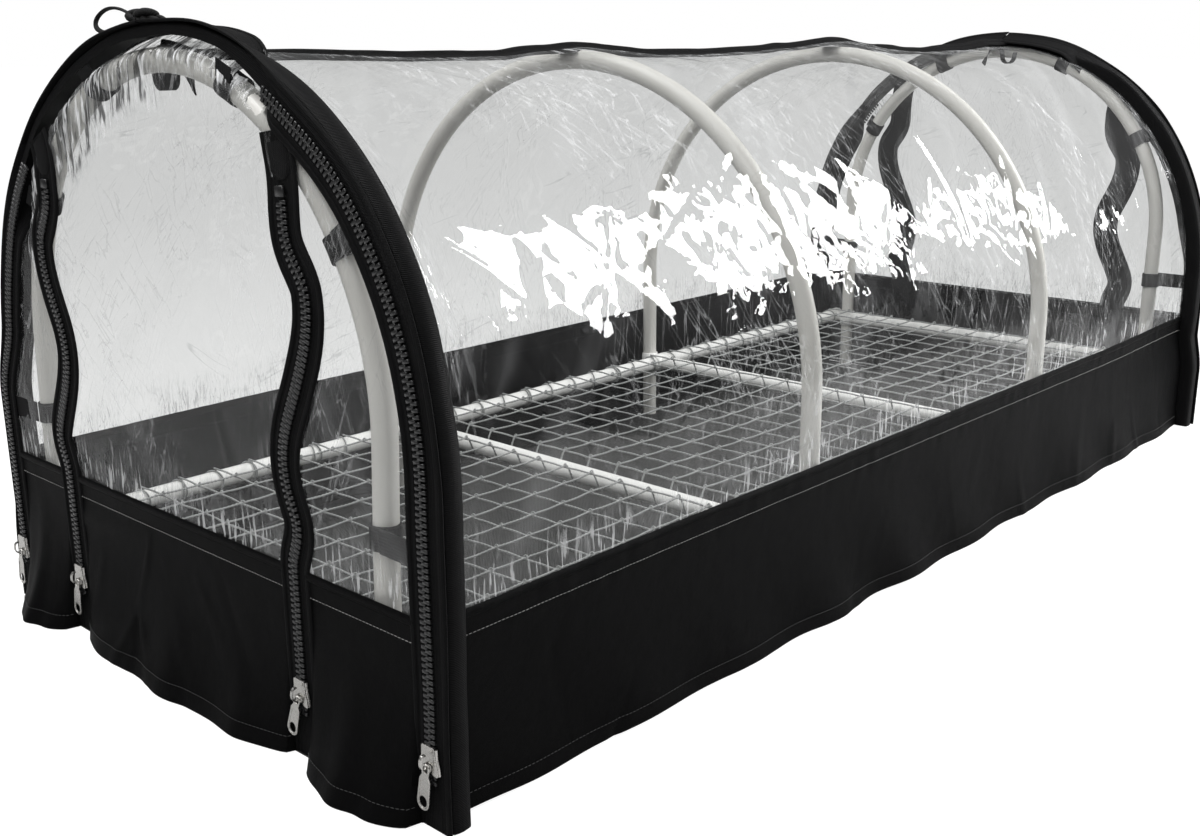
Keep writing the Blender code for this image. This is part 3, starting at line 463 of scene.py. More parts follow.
def stitches(shape, path, out, length=0.0030, pitch=0.0042, radius=0.00032):
    """A row of thread stitches that stand a little proud of a path."""
    run = distances(path)
    middles = np.arange(pitch, run[-1] - pitch, pitch)
    place = np.stack([np.interp(middles, run, path[:, k]) for k in range(3)], 1)
    ahead = np.stack([np.interp(middles + 0.001, run, path[:, k]) for k in range(3)], 1)
    along = unit(ahead - place)
    out = np.broadcast_to(out, place.shape)
    side = unit(np.cross(along, out))
    lift = np.cross(side, along)
    steps = np.array([-0.5, -0.3, 0.0, 0.3, 0.5]) * length
    thick = np.array([0.35, 0.95, 1.0, 0.95, 0.35]) * radius
    turn = np.arange(5) * 2.0 * math.pi / 5
    points = np.zeros((5, 5, 3))
    points[..., 0] = steps[:, None]
    points[..., 1] = thick[:, None] * np.cos(turn)
    points[..., 2] = thick[:, None] * np.sin(turn) + (thick[:, None] - radius) * 0.8
    groups = [grid_faces(5, 5, False, True), np.arange(5)[None, ::-1], (np.arange(5) + 20)[None]]
    places = np.zeros((len(place), 4, 4))
    places[:, :3, 0] = along
    places[:, :3, 1] = side
    places[:, :3, 2] = lift
    places[:, :3, 3] = place
    places[:, 3, 3] = 1.0
    shape.copies(points.reshape(-1, 3), groups, places)


# Materials


class Signal:
    """A node's number, on which arithmetic adds Math nodes."""

    def __init__(self, nodes, socket):
        self.nodes = nodes
        self.socket = socket

    def __add__(self, other):
        return self.nodes.maths("ADD", self, other)

    def __radd__(self, other):
        return self.nodes.maths("ADD", other, self)

    def __sub__(self, other):
        return self.nodes.maths("SUBTRACT", self, other)

    def __mul__(self, other):
        return self.nodes.maths("MULTIPLY", self, other)

    def __pow__(self, other):
        return self.nodes.maths("POWER", self, other)

    def __abs__(self):
        return self.nodes.maths("ABSOLUTE", self)


class Nodes:
    """Short forms for the nodes of a material or a world."""

    def __init__(self, owner):
        owner.use_nodes = True
        self.owner = owner
        self.tree = owner.node_tree

    def connect(self, value, socket):
        """Link an output to an input, or set the input to a number or a colour."""
        if isinstance(value, Signal):
            self.tree.links.new(value.socket, socket)
        else:
            socket.default_value = value

    def out(self, kind, output=0, inputs=None, **settings):
        """Add a node and return one of its outputs."""
        made = self.tree.nodes.new(kind)
        for key, value in settings.items():
            setattr(made, key, value)
        for key, value in (inputs or {}).items():
            self.connect(value, made.inputs[key])
        return Signal(self, made.outputs[output])

    def maths(self, operation, a, b=0.0):
        """A Math node's result."""
        return self.out("ShaderNodeMath", 0, {0: a, 1: b}, operation=operation)

    def vector(self, operation, a, b=None, scale=None):
        """A Vector Math node's result."""
        inputs = {0: a}
        if b is not None:
            inputs[1] = b
        if scale is not None:
            inputs["Scale"] = scale
        return self.out("ShaderNodeVectorMath", 0, inputs, operation=operation)

    def level(self, value, low, high):
        """Ease from 0 at low to 1 at high."""
        return self.out("ShaderNodeMapRange", 0, {"Value": value, "From Min": low, "From Max": high},
                        interpolation_type="SMOOTHSTEP")

    def cloth(self):
        """Cloth coordinates: all three as a vector, then across, along and mark."""
        vector = self.out("ShaderNodeAttribute", "Vector", attribute_name="cloth")
        split = self.tree.nodes.new("ShaderNodeSeparateXYZ")
        self.connect(vector, split.inputs[0])
        return (vector, *(Signal(self, output) for output in split.outputs))

    def place(self):
        """Object coordinates in metres."""
        return self.out("ShaderNodeTexCoord", "Object")

    def noise(self, vector, scale, detail=3.0, roughness=0.55):
        """Noise from 0 to 1."""
        return self.out("ShaderNodeTexNoise", 0, {"Vector": vector, "Scale": scale, "Detail": detail,
                                                  "Roughness": roughness})

    def blend(self, share, low, high):
        """A colour between two colours."""
        low, high = [end if isinstance(end, Signal) else (*end, 1.0) for end in (low, high)]
        return self.out("ShaderNodeMix", 2, {0: share, 6: low, 7: high}, data_type="RGBA")

    def bump(self, height, strength, distance, normal=None):
        """A normal from a height."""
        inputs = {"Height": height, "Strength": strength, "Distance": distance}
        if normal is not None:
            inputs["Normal"] = normal
        return self.out("ShaderNodeBump", 0, inputs)

    def waves(self, coordinate, period):
        """A sine over a coordinate in metres."""
        return self.maths("SINE", coordinate * (2.0 * math.pi / period))

    def seen(self):
        """1 for rays straight from the camera or through film, and 0 for others."""
        path = self.tree.nodes.new("ShaderNodeLightPath").outputs
        return self.maths("MAXIMUM", Signal(self, path["Is Camera Ray"]),
                          Signal(self, path["Is Transmission Ray"]))

    def finish(self, shader):
        """Connect a material's surface and return the material."""
        output = self.tree.nodes.new("ShaderNodeOutputMaterial")
        self.connect(shader, output.inputs["Surface"])
        return self.owner


def surface(name):
    """The empty nodes of a new material."""
    nodes = Nodes(bpy.data.materials.new(name))
    nodes.tree.nodes.clear()
    return nodes


def along_turn(s, across, along, scale, long_scale, turn):
    """Cloth coordinates turned by an angle, with their own scale along and across the lines."""
    u = across * math.cos(turn) + along * math.sin(turn)
    v = along * math.cos(turn) - across * math.sin(turn)
    return s.out("ShaderNodeCombineXYZ", 0, {0: u * long_scale, 1: v * scale, 2: turn * 9.0})


def wrinkle_lines(s, across, along, scale, long_scale, turn, width):
    """Noise drawn out along a direction, and the thin lines where it crosses its middle level."""
    wrinkle = s.noise(along_turn(s, across, along, scale, long_scale, turn), 1.0, 2.0, 0.5)
    return wrinkle, s.level(abs(wrinkle - 0.5), width, 0.0)


def leant(s, normal, pattern, share):
    """A normal that leans by a share of a colour pattern."""
    lean = s.vector("SUBTRACT", pattern, (0.5, 0.5, 0.5))
    return s.vector("ADD", normal, s.vector("SCALE", lean, scale=share))


# Wave scale and lean of the film; its lines' scale across and along them, and their turn
FILM_WAVES = ((20.0, 0.15), (58.0, 0.20), (140.0, 0.15))
# Lines that lean the film's normal and darken the film as painted shade along its wrinkles
SPARSE_LINES = ((60.0, 7.0, 0.25),)
GATHER_LINES = ((150.0, 16.0, 1.45), (230.0, 22.0, 1.70))
# Lines that lighten the film as painted highlights along its wrinkles
PAINTED_HIGHLIGHT_LINES = ((90.0, 11.0, 1.20), (64.0, 9.0, 2.05))


def film_normal(s, place, crush):
    """Normal of the film: waves of three sizes and small flat cells, stronger where it is crushed."""
    warp = s.out("ShaderNodeTexNoise", "Color", {"Vector": place, "Scale": 14.0, "Detail": 2.0})
    warped = s.vector("ADD", place, s.vector("SCALE", warp, scale=0.05))
    share = 0.24 + crush * 0.76
    normal = s.out("ShaderNodeNewGeometry", "Normal")
    for scale, tilt in FILM_WAVES:
        wave = s.out("ShaderNodeTexNoise", "Color", {"Vector": warped, "Scale": scale, "Detail": 0.0})
        normal = leant(s, normal, wave, (crush if scale > 100.0 else share) * tilt)
    cell = s.out("ShaderNodeTexVoronoi", "Color", {"Vector": warped, "Scale": 42.0})
    return s.vector("NORMALIZE", leant(s, normal, cell, share * 0.09))


def film_material():
    """Clear thin film: small flat facets, fine wrinkle lines with painted shade, light lines and streaks that
    are painted highlights, a little milk, and an angled shine.
    """
    s = surface("clear_film")
    place = s.place()
    _, across, along, mark = s.cloth()
    patch = s.level(s.noise(place, 5.5, 2.0), 0.40, 0.62)
    crush = s.maths("MAXIMUM", mark * -1.0, 0.0) * (0.6 + patch * 0.4) + patch * 0.16
    strong = s.level(mark, 1.0, 1.9)
    mark = s.maths("MINIMUM", s.maths("MAXIMUM", mark, 0.0), 1.0)
    normal = film_normal(s, place, crush)
    gather = mark * s.level(s.noise(place, 26.0, 2.0), 0.36, 0.60)
    sparse = s.level(s.noise(place, 11.0, 2.0), 0.60, 0.70) * 0.45
    dark = 0.0
    for lines, here in ((SPARSE_LINES, sparse), (GATHER_LINES, gather)):
        for line in lines:
            wrinkle, drawn = wrinkle_lines(s, across, along, *line, 0.020)
            dark = dark + drawn * here
            normal = s.bump(wrinkle, here * 0.9, 0.004, normal)
    # Painted shade: the tint darkens along the wrinkle lines.
    tint = s.blend(s.maths("MINIMUM", dark, 1.0), (0.796, 0.800, 0.797), (0.44, 0.45, 0.45))
    streaks = s.out("ShaderNodeCombineXYZ", 0, {0: across * 95.0, 1: along * 15.0})
    # Dark streaks where the film is gathered over the hoop: painted shade.
    painted_fold_shade = s.level(s.noise(streaks, 1.0, 3.0), 0.50, 0.57) * strong
    tint = s.blend(painted_fold_shade * 0.86, tint, (0.05, 0.05, 0.05))
    # Light streaks there: painted highlight.
    glint = s.level(s.noise(streaks, 1.9, 2.0), 0.56, 0.62) * strong
    # Pale lines over part of the film: painted highlights.
    spread = s.level(s.noise(place, 4.2, 2.0), 0.42, 0.60) * 0.55
    pale = 0.0
    for line in PAINTED_HIGHLIGHT_LINES:
        pale = pale + wrinkle_lines(s, across, along, *line, 0.016)[1] * spread
    # Light streaks in the pleats near the seams: painted highlights.
    painted_pleat_highlights = s.level(s.noise(along_turn(s, across, along, 26.0, 250.0, 0.0), 1.0, 2.0), 0.53, 0.62)
    painted_pleat_highlights = painted_pleat_highlights * (mark * s.level(s.noise(place, 15.0, 2.0), 0.40, 0.55))
    veil = s.level(s.noise(along_turn(s, across, along, 16.0, 3.6, 0.9), 1.0, 3.0), 0.50, 0.72)
    haze = 0.009 + (crush * 0.012 + gather * 0.05)
    # Painted highlights: the glint, the pale lines and the pleat streaks whiten the film.
    haze = haze + glint * 0.55 + pale * 0.34 + painted_pleat_highlights * 0.42 + veil * 0.052
    clear = s.out("ShaderNodeBsdfTransparent", 0, {"Color": tint})
    milk = s.out("ShaderNodeBsdfDiffuse", 0, {"Color": (0.86, 0.87, 0.88, 1.0), "Normal": normal})
    body = s.out("ShaderNodeMixShader", 0, {0: haze, 1: clear, 2: milk})
    facing = s.out("ShaderNodeLayerWeight", "Facing", {"Blend": 0.5, "Normal": normal})
    gloss = s.out("ShaderNodeBsdfGlossy", 0, {"Color": (1.0, 1.0, 1.0, 1.0), "Roughness": 0.014,
                                              "Normal": normal})
    shine = 0.040 + facing ** 5.0 * 0.32
    return s.finish(s.out("ShaderNodeMixShader", 0, {0: shine, 1: body, 2: gloss}))


def fabric_material(name, dark, light, roughness, period, depth, mottle, gloss):
    """Woven fabric: a fine weave in the relief, and a colour that varies over the cloth."""
    s = surface(name)
    vector, across, along, _ = s.cloth()
    weave = s.waves(across, period) * s.waves(along, period)
    colour = s.blend((s.noise(s.place(), mottle, 4.0) + s.noise(vector, 900.0, 2.0)) * 0.5, dark, light)
    normal = s.bump(weave, 0.5, depth, s.bump(s.noise(s.place(), 42.0, 3.0), 0.25, 0.004))
    return s.finish(s.out("ShaderNodeBsdfPrincipled", 0, {
        "Base Color": colour, "Roughness": roughness, "Normal": normal, "Specular IOR Level": gloss}))


def tape_material(name, dark, light, rib, roughness):
    """Ribbed woven tape: fine ribs across it."""
    s = surface(name)
    vector, across, along, _ = s.cloth()
    ribs = s.waves(along + abs(across) * 0.55, rib)
    cords = s.waves(across, rib * 1.7)
    colour = s.blend(s.noise(vector, 60.0, 4.0) * 0.75 + ribs * 0.12, dark, light)
    return s.finish(s.out("ShaderNodeBsdfPrincipled", 0, {
        "Base Color": colour, "Roughness": roughness, "Normal": s.bump(ribs + cords * 0.5, 0.6, 0.00025),
        "Specular IOR Level": 0.05, "Sheen Weight": 0.005, "Sheen Roughness": 0.4}))


def solid_material(name, dark, light, roughness, scale, metallic=0.0, relief=0.15):
    """Plastic, metal or paint with clouded colour and fine relief."""
    s = surface(name)
    place = s.place()
    fine = s.noise(place, scale * 22.0, 3.0)
    return s.finish(s.out("ShaderNodeBsdfPrincipled", 0, {
        "Base Color": s.blend(s.noise(place, scale, 4.0), dark, light), "Metallic": metallic,
        "Roughness": roughness - 0.06 + fine * 0.12, "Normal": s.bump(fine, relief, 0.0002)}))


BLACK_TAPE = ((0.0022, 0.0022, 0.0024), (0.0068, 0.0068, 0.0071))
FILM = film_material()
SKIRT = fabric_material("skirt_fabric", (0.0009, 0.0009, 0.0010), (0.0028, 0.0028, 0.0030),
                        roughness=0.46, period=0.0011, depth=0.0002, mottle=9.0, gloss=0.034)
GROUND = fabric_material("ground_fabric", (0.022, 0.023, 0.023), (0.052, 0.052, 0.050),
                         roughness=0.85, period=0.0026, depth=0.0006, mottle=26.0, gloss=0.035)
BINDING = tape_material("binding_tape", *BLACK_TAPE, rib=0.0014, roughness=0.46)
TAPE = tape_material("zip_tape", *BLACK_TAPE, rib=0.0011, roughness=0.60)
STRAP = tape_material("strap_tape", (0.006, 0.006, 0.0064), (0.016, 0.016, 0.0165),
                      rib=0.0015, roughness=0.60)
CORD = tape_material("tie_cord", (0.010, 0.010, 0.010), (0.026, 0.026, 0.026), rib=0.0012, roughness=0.6)
TEETH = solid_material("zip_teeth", (0.006, 0.006, 0.0064), (0.013, 0.013, 0.0135), 0.30, 90.0)
NICKEL = solid_material("nickel", (0.40, 0.39, 0.37), (0.58, 0.57, 0.55), 0.27, 60.0,
                        metallic=1.0, relief=0.2)
# The hoops and the bed's rails and crossbars are one white plastic, drawn as a darker and a lighter copy:
# painted light and shade.
WHITE = solid_material("white_tube", (0.65, 0.637, 0.602), (0.75, 0.74, 0.708), 0.34, 12.0, relief=0.12)
BED_WHITE_PAINTED_LIGHT = solid_material("bed_tube_painted_light", (0.92, 0.915, 0.895), (0.96, 0.955, 0.94), 0.30, 12.0, relief=0.12)
STRAND = solid_material("net_strand", (0.24, 0.25, 0.25), (0.43, 0.44, 0.43), 0.58, 70.0, relief=0.5)
THREAD = solid_material("stitch_thread", (0.16, 0.16, 0.16), (0.30, 0.30, 0.29), 0.6, 300.0, relief=0.4)
DARK_THREAD = solid_material("dark_thread", (0.020, 0.020, 0.020), (0.045, 0.045, 0.045), 0.6, 300.0,
                             relief=0.4)


# Placing on an end of the cover


class End:
    """One end: it turns points of the front end to its own place."""

    def __init__(self, name, sign):
        self.name = name
        self.sign = sign

    def put(self, points):
        """World places of points given at the front end."""
        return np.asarray(points, float) * (self.sign, self.sign, 1.0)

    def side_name(self, side):
        """The bed's own side: left is +Y."""
        return self.name + ("_left" if side * self.sign > 0 else "_right")


ENDS = (End("front", 1.0), End("rear", -1.0))


def zip_wave(z):
    """Slack of the inner zips at a height, outwards from the door."""
    below = DOOR_TOP - z
    fade = smoothstep((z - SKIRT_TOP) / WAVE_RUN) * smoothstep(below / WAVE_RUN)
    return fade * (ZIP_SPREAD + ZIP_WAVE * np.cos(2.0 * math.pi * (below - ZIP_WAVE_CREST) / ZIP_WAVE_LENGTH))


def door_lean(z):
    """How far the slack door lies to the left of the middle at a height."""
    return DOOR_LEAN * smoothstep((DOOR_TOP - LEAN_TOP - z) / LEAN_RUN)


def inner_zip_y(z, side):
    """Centre line of an inner zip: side is 1 for left and -1 for right."""
    return side * (INNER_ZIP_Y + zip_wave(z)) + door_lean(z)


def arch_height(y, radius):
    """Height of the arch of that radius over y."""
    return SPRING_Z + np.sqrt(np.maximum(radius * radius - y * y, 0.0))


def arch_path(radius, low, end_degrees, step):
    """Points (y, z) up the wall and round the arch, with their outward directions."""
    wall = SPRING_Z - low
    total = wall + radius * math.radians(end_degrees)
    run = np.linspace(0.0, total, max(2, round(total / step)) + 1)
    angle = np.clip((run - wall) / radius, 0.0, None)
    out = np.stack([np.cos(angle), np.sin(angle)], 1)
    points = np.stack([radius * np.cos(angle), low + np.minimum(run, wall) + radius * np.sin(angle)], 1)
    return points, out


def arch_line():
    """The front arch's slack at each degree from the left, read from the photograph's outline."""
    degrees = np.arange(-26, 207)
    soft = np.hanning(15)[1:-1]
    rough = np.interp(degrees, [p[0] for p in ARCH_LINE], [p[1] for p in ARCH_LINE])
    return degrees[6:-6], np.convolve(rough, soft / soft.sum(), "valid")


def free_slack(end, side, angle, z):
    """How far outwards the edge of an end wall would lie beyond its plain arch."""
    if end.sign > 0:
        turn = np.degrees(angle) if side > 0 else 180.0 - np.degrees(angle)
        return np.interp(turn, *arch_line()) * smoothstep((z - SLACK_START) / SLACK_RISE)
    across = side * end.sign * np.cos(angle)
    return -ARCH_TUCK * (0.5 - 0.5 * across) * smoothstep((z - SLIDER_Z - 0.025) / 0.07)


def held_slack(end, side, angle, z, most):
    """The same, but no more than a distance along the run of the outer slider."""
    slack = free_slack(end, side, angle, z)
    held = np.clip(slack, -most, most)
    return held + (slack - held) * smoothstep((z - RUN_TOP) / RUN_FADE)


def arch_slack(end, side, angle, z):
    """Slack of the bound edge of an end wall."""
    return held_slack(end, side, angle, z, RUN_EDGE_SLACK)


def zip_slack(end, side, angle, z):
    """Slack of the outer zip, which lies straight where its slider runs."""
    return held_slack(end, side, angle, z, RUN_ZIP_SLACK)


def tape_tuck(end, side, angle):
    """How much of the outer tape's inner half is turned back over the hoop, from 0 to 1."""
    left = side * end.sign > 0
    low, high = (30.0, 48.0) if left else (56.0, 72.0)
    return smoothstep((np.degrees(angle) - low) / (high - low))


def tape_turn(end, side, angle):
    """Angle by which the outer tape is turned back."""
    return math.radians(TUCK_TURN[end.name]) * tape_tuck(end, side, angle)


def edge_lift(x, side, angle):
    """Rise of the side film towards the front arch where the tape is turned back."""
    near = smoothstep((EDGE_REACH - SIDE_HALF_LENGTH - x) / EDGE_REACH)
    return EDGE_LIFT * tape_tuck(ENDS[0], side, angle) * near


def hoop_bend(node, points):
    """Points of a hoop, with the slight lean of the front hoop's upper part."""
    points = np.array(points, float)
    if node == "hoop_front_end":
        height = points[..., 2].copy()
        points[..., 1] -= HOOP_LEAN * smoothstep((height - 0.13) / 0.25)
        points[..., 2] += HOOP_RISE * HOOP_LEAN * smoothstep((height - SPRING_Z) / 0.31)
    return points


def end_sweep(shape, end, side, path, out, profile, x):
    """Sweep a profile of (outward, forward) pairs along a path (y, z) on an end wall at x."""
    along = np.zeros((len(path), 3))
    along[:, 0] = -x
    along[:, 1] = side * path[:, 0]
    along[:, 2] = path[:, 1]
    across = np.zeros(along.shape)
    across[:, 1] = side * out[:, 0]
    across[:, 2] = out[:, 1]
    forward = np.broadcast_to((-1.0, 0.0, 0.0), along.shape)
    sweep(shape, end.put(along), end.put(across), end.put(forward), profile)


# Frame


def leg_place(node):
    """Middle of a hoop's left leg: x and y."""
    corners = np.array([v.co[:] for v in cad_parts[node].data.vertices])
    foot = corners[(corners[:, 2] < corners[:, 2].min() + 0.001) & (corners[:, 1] > 0.0)]
    middle = (foot.min(0) + foot.max(0)) / 2.0
    return middle[0], middle[1]


def build_hoop(node):
    """One smooth white tube hoop."""
    low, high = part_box(node)
    x, half = leg_place(node)
    spring = high.z - TUBE_RADIUS - half
    wall = np.linspace(low.z, spring, 9)[:-1]
    turn = np.linspace(0.0, math.pi, 73)
    left = np.stack([np.full(8, x), np.full(8, half), wall], 1)
    arc = np.stack([np.full(73, x), half * np.cos(turn), spring + half * np.sin(turn)], 1)
    right = left[::-1] * (1.0, -1.0, 1.0)
    shape = Shape()
    tube(shape, hoop_bend(node, np.concatenate([left, arc, right])), TUBE_RADIUS, TUBE_SIDES)
    shape.build(node + "_tube", WHITE, "frame", [node])


def collar(inner, outer, half, lip):
    """Section of a moulded sleeve: a ring with rounded lips."""
    return [(inner, -half + lip), (inner + lip, -half), (outer - lip, -half), (outer, -half + lip),
            (outer, half - lip), (outer - lip, half), (inner + lip, half), (inner, half - lip)]


def build_rail(node):
    """One smooth side rail."""
    low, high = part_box(node)
    y = (low.y + high.y) / 2.0
    shape = Shape()
    path = np.stack([np.linspace(low.x, high.x, 30), np.full(30, y), np.full(30, FRAME_Z)], 1)
    tube(shape, path, TUBE_RADIUS, TUBE_SIDES, (0.0, 0.0, 1.0))
    shape.build(node + "_tube", BED_WHITE_PAINTED_LIGHT, "frame", [node])


def build_crossbar(node, hoop, open_clip):
    """A crossbar with its moulded fittings: rail sleeves, and leg sleeves or snap clips."""
    x, leg_y = leg_place(hoop)
    reach = min(leg_y, RAIL_Y)
    shape = Shape()
    path = np.stack([np.full(12, x), np.linspace(-reach, reach, 12), np.full(12, FRAME_Z)], 1)
    tube(shape, path, TUBE_RADIUS, TUBE_SIDES, (0.0, 0.0, 1.0))
    half = SLEEVE_LENGTH / 2.0 if open_clip else FITTING_RADIUS
    bridge, faces = soft_box((0.006, abs(leg_y - RAIL_Y) / 2.0, 0.006), 0.001)
    for side in (1.0, -1.0):
        turned(shape, (x, side * RAIL_Y, FRAME_Z), (1.0, 0.0, 0.0),
               collar(TUBE_RADIUS + 0.0001, FITTING_RADIUS, half, 0.0008))
        shape.add(bridge + (x, side * (leg_y + RAIL_Y) / 2.0, FRAME_Z), faces)
        if not open_clip:
            turned(shape, (x, side * leg_y, FRAME_Z), (0.0, 0.0, 1.0),
                   collar(TUBE_RADIUS + 0.0001, FITTING_RADIUS, FITTING_HEIGHT / 2.0, 0.0008))
            continue
        turn = np.radians(np.linspace(CLIP_OPENING, 360.0 - CLIP_OPENING, 25))
        out = np.stack([np.sin(turn), side * np.cos(turn), np.zeros(25)], 1)
        ring = np.array((x, side * leg_y, FRAME_Z)) + out * (FITTING_RADIUS + TUBE_RADIUS) / 2.0
        wall = (FITTING_RADIUS - TUBE_RADIUS) / 2.0 - 0.0001
        tall = FITTING_HEIGHT / 2.0
        lip = 0.0006
        profile = [(-wall, -tall + lip), (-wall + lip, -tall), (wall - lip, -tall), (wall, -tall + lip),
                   (wall, tall - lip), (wall - lip, tall), (-wall + lip, tall), (-wall, tall - lip)]
        sweep(shape, ring, out, (0.0, 0.0, 1.0), profile)
    shape.build(node + "_bar", BED_WHITE_PAINTED_LIGHT, "frame", [node])


# Mesh bed


NET_LONG = 32             # cells along the bed
NET_WIDE = 14             # cells across it
NET_WIDTH = 0.0028
NET_FLAT = 0.58           # a two-ply strand's section is this much flatter one way
NET_LAY = 0.0095          # length of one full turn of the strand
NET_STEP = 0.0023
NET_SAG = 0.004
NET_JITTER = 0.0013
NET_UNDER = 0.0245        # the lengthwise strands dip this far to pass under the middle crossbars


def strand(shape, path, seed):
    """A two-ply twisted strand: a flat section that turns along its path."""
    path = resample(path, NET_STEP)
    run = distances(path)
    along = tangents(path)
    side = unit(np.cross(along, np.broadcast_to((0.0, 0.0, 1.0), path.shape)))
    up = np.cross(side, along)
    turn = 2.0 * math.pi * run / NET_LAY + seed
    base = round_profile(NET_WIDTH / 2.0, 6, NET_FLAT)
    profile = np.stack([base[:, 0] * np.cos(turn)[:, None] - base[:, 1] * np.sin(turn)[:, None],
                        base[:, 0] * np.sin(turn)[:, None] + base[:, 1] * np.cos(turn)[:, None]], -1)
    sweep(shape, path, side, up, profile)


def net_sag(x, y, stops):
    """How far the bed hangs below its edges, between the bars that carry it."""
    across = np.cos(0.5 * math.pi * np.clip(y / RAIL_Y, -1.0, 1.0))
    drop = np.zeros(np.broadcast(x, y).shape)
    for low, high in zip(stops, stops[1:]):
        inside = (x >= low) & (x <= high)
        drop = np.where(inside, np.sin(math.pi * (x - low) / (high - low)), drop)
    return NET_SAG * drop * across


def net_loops(shape, xs, rng):
    """Loops round both rails, one or two at each crosswise strand."""
    turn = np.arange(22) * 2.0 * math.pi / 22
    reach = TUBE_RADIUS + 0.0014
    for i, place in enumerate(xs):
        for side in (1.0, -1.0):
            for k in range(1 + i % 2):
                lean = rng.uniform(-0.006, 0.006)
                x = place + (k - 0.5) * 0.0034 + rng.uniform(-0.0012, 0.0012)
                ring = np.stack([x + lean * np.cos(turn), side * RAIL_Y + reach * np.cos(turn),
                                 FRAME_Z + reach * np.sin(turn)], 1)
                tube(shape, ring, 0.0010, 6, (1.0, 0.0, 0.0), True)


def build_net():
    """The mesh bed: twisted strands, knotted where they cross and looped round the rails."""
    rng = np.random.default_rng(41)
    xs = np.linspace(NET_LOW.x + 0.004, NET_HIGH.x - 0.004, NET_LONG + 1)
    ys = np.linspace(-RAIL_Y, RAIL_Y, NET_WIDE + 1)
    level = NET_HIGH.z
    bars = [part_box(n)[0].x + TUBE_RADIUS for n in ("hoop_front_mid", "hoop_rear_mid")]
    stops = [xs[0], bars[0], bars[1], xs[-1]]
    jitter_y = rng.uniform(-NET_JITTER, NET_JITTER, (NET_LONG + 1, NET_WIDE + 1))
    jitter_x = rng.uniform(-NET_JITTER, NET_JITTER, (NET_LONG + 1, NET_WIDE + 1))
    jitter_y[:, 0] = jitter_y[:, -1] = 0.0
    jitter_x[0] = jitter_x[-1] = 0.0

    lengthwise = Shape()
    x = np.linspace(xs[0], xs[-1], NET_LONG * 20 + 1)
    under = sum(1.0 - smoothstep((np.abs(x - bar) - 0.006) / 0.016) for bar in bars)
    for j in range(1, NET_WIDE):
        y = ys[j] + eased(x, xs, jitter_y[:, j])
        z = level - net_sag(x, y, stops) + 0.0003 * np.cos(2.0 * math.pi * (x - xs[0]) / (xs[1] - xs[0]))
        z = z - NET_UNDER * under
        strand(lengthwise, np.stack([x, y, z], 1), rng.uniform(0.0, 6.0))
    lengthwise.build("net_strands_lengthwise", STRAND, "frame", ["mesh_net"], 0.0)
    crosswise = Shape()
    y = np.linspace(-RAIL_Y, RAIL_Y, NET_WIDE * 12 + 1)
    for i in range(NET_LONG + 1):
        x = xs[i] + eased(y, ys, jitter_x[i])
        z = level - 0.0010 - net_sag(x, y, stops)
        z = z - 0.0003 * np.cos(2.0 * math.pi * (y - ys[0]) / (ys[1] - ys[0]))
        strand(crosswise, np.stack([x, y, z], 1), rng.uniform(0.0, 6.0))
    crosswise.build("net_strands_crosswise", STRAND, "frame", (), 0.0)
    knots = Shape()
    turn = np.arange(9) * 2.0 * math.pi / 9
    for i in range(NET_LONG + 1):
        for j in range(1, NET_WIDE):
            middle = np.array((xs[i] + jitter_x[i, j], ys[j] + jitter_y[i, j], level))
            middle[2] -= float(net_sag(middle[0], middle[1], stops)) - 0.0006
            lean = rng.uniform(-0.5, 0.5)
            ring = np.stack([0.0014 * np.sin(turn + lean), 0.0019 * np.cos(turn), 0.0019 * np.sin(turn)], 1)
            tube(knots, middle + ring, 0.0009, 5, (1.0, 0.35, 0.0), True)
    net_loops(knots, xs, rng)
    knots.build("net_knots", STRAND, "frame", (), 0.0)


def build_ground():
    """The woven sheet on the floor, a little uneven, out to the flared skirts."""
    share = np.linspace(0.0, 1.0, 181)
    x = (2.0 * share - 1.0) * GROUND_HIGH.x
    across = np.linspace(-1.0, 1.0, 91)
    _, flare = fold(share, 0.0, SIDE_FOLDS, SIDE_FOLD_SHIFT)
    half = GROUND_HIGH.y + 0.006 * flare
    u = x[:, None] * (1.0 + 0.006 * np.sqrt(np.clip(1.0 - across ** 2, 0.0, 1.0)))
    v = half[:, None] * across
    edge = smoothstep((GROUND_HIGH.x - np.abs(u)) / 0.05) * smoothstep((GROUND_HIGH.y - np.abs(v)) / 0.04)
    high = 0.0018 * (1.0 + ripple(u, v, 5, 0.16)) + 0.0009 * (1.0 + ripple(u, v, 6, 0.045))
    high = high + np.abs(creases(u, v, 7, 46, (-0.7, 0.7), (-0.3, 0.3), (0, 180), (0.06, 0.25),
                                 (0.008, 0.02), (0.001, 0.003)))
    z = GROUND_HIGH.z * 0.5 + edge * high
    front = np.stack([u, v, z], -1)
    shape = Shape()
    slab(shape, front, front - (0.0, 0.0, 0.0005), front)
    sheet = shape.build("ground_cloth", GROUND, "frame", ["ground_sheet"], 0.0)


# Cover: the two long sides


# Places along the ridge and heights above its plain line
RIDGE_LINE = ((-0.75, -0.0040), (-0.71, -0.0060), (-0.67, -0.0045), (-0.60, -0.0050),
              (-0.45, -0.0080), (-0.36, -0.0075), (-0.295, -0.0030), (-0.245, 0.0), (-0.195, -0.0035),
              (-0.12, -0.0090), (-0.04, -0.0090), (0.05, -0.0070), (0.12, -0.0035), (0.24, 0.0035),
              (0.35, -0.0060), (0.46, -0.0110), (0.56, -0.0075), (0.66, -0.0005), (0.75, 0.0))
RIDGE_REACH = 0.16        # how far down the film follows the ridge line


def ridge_lift(x):
    """How far the ridge stands above its plain height, read from the photograph's skyline."""
    stations, heights = np.array(RIDGE_LINE).T
    return eased(x, stations, heights)


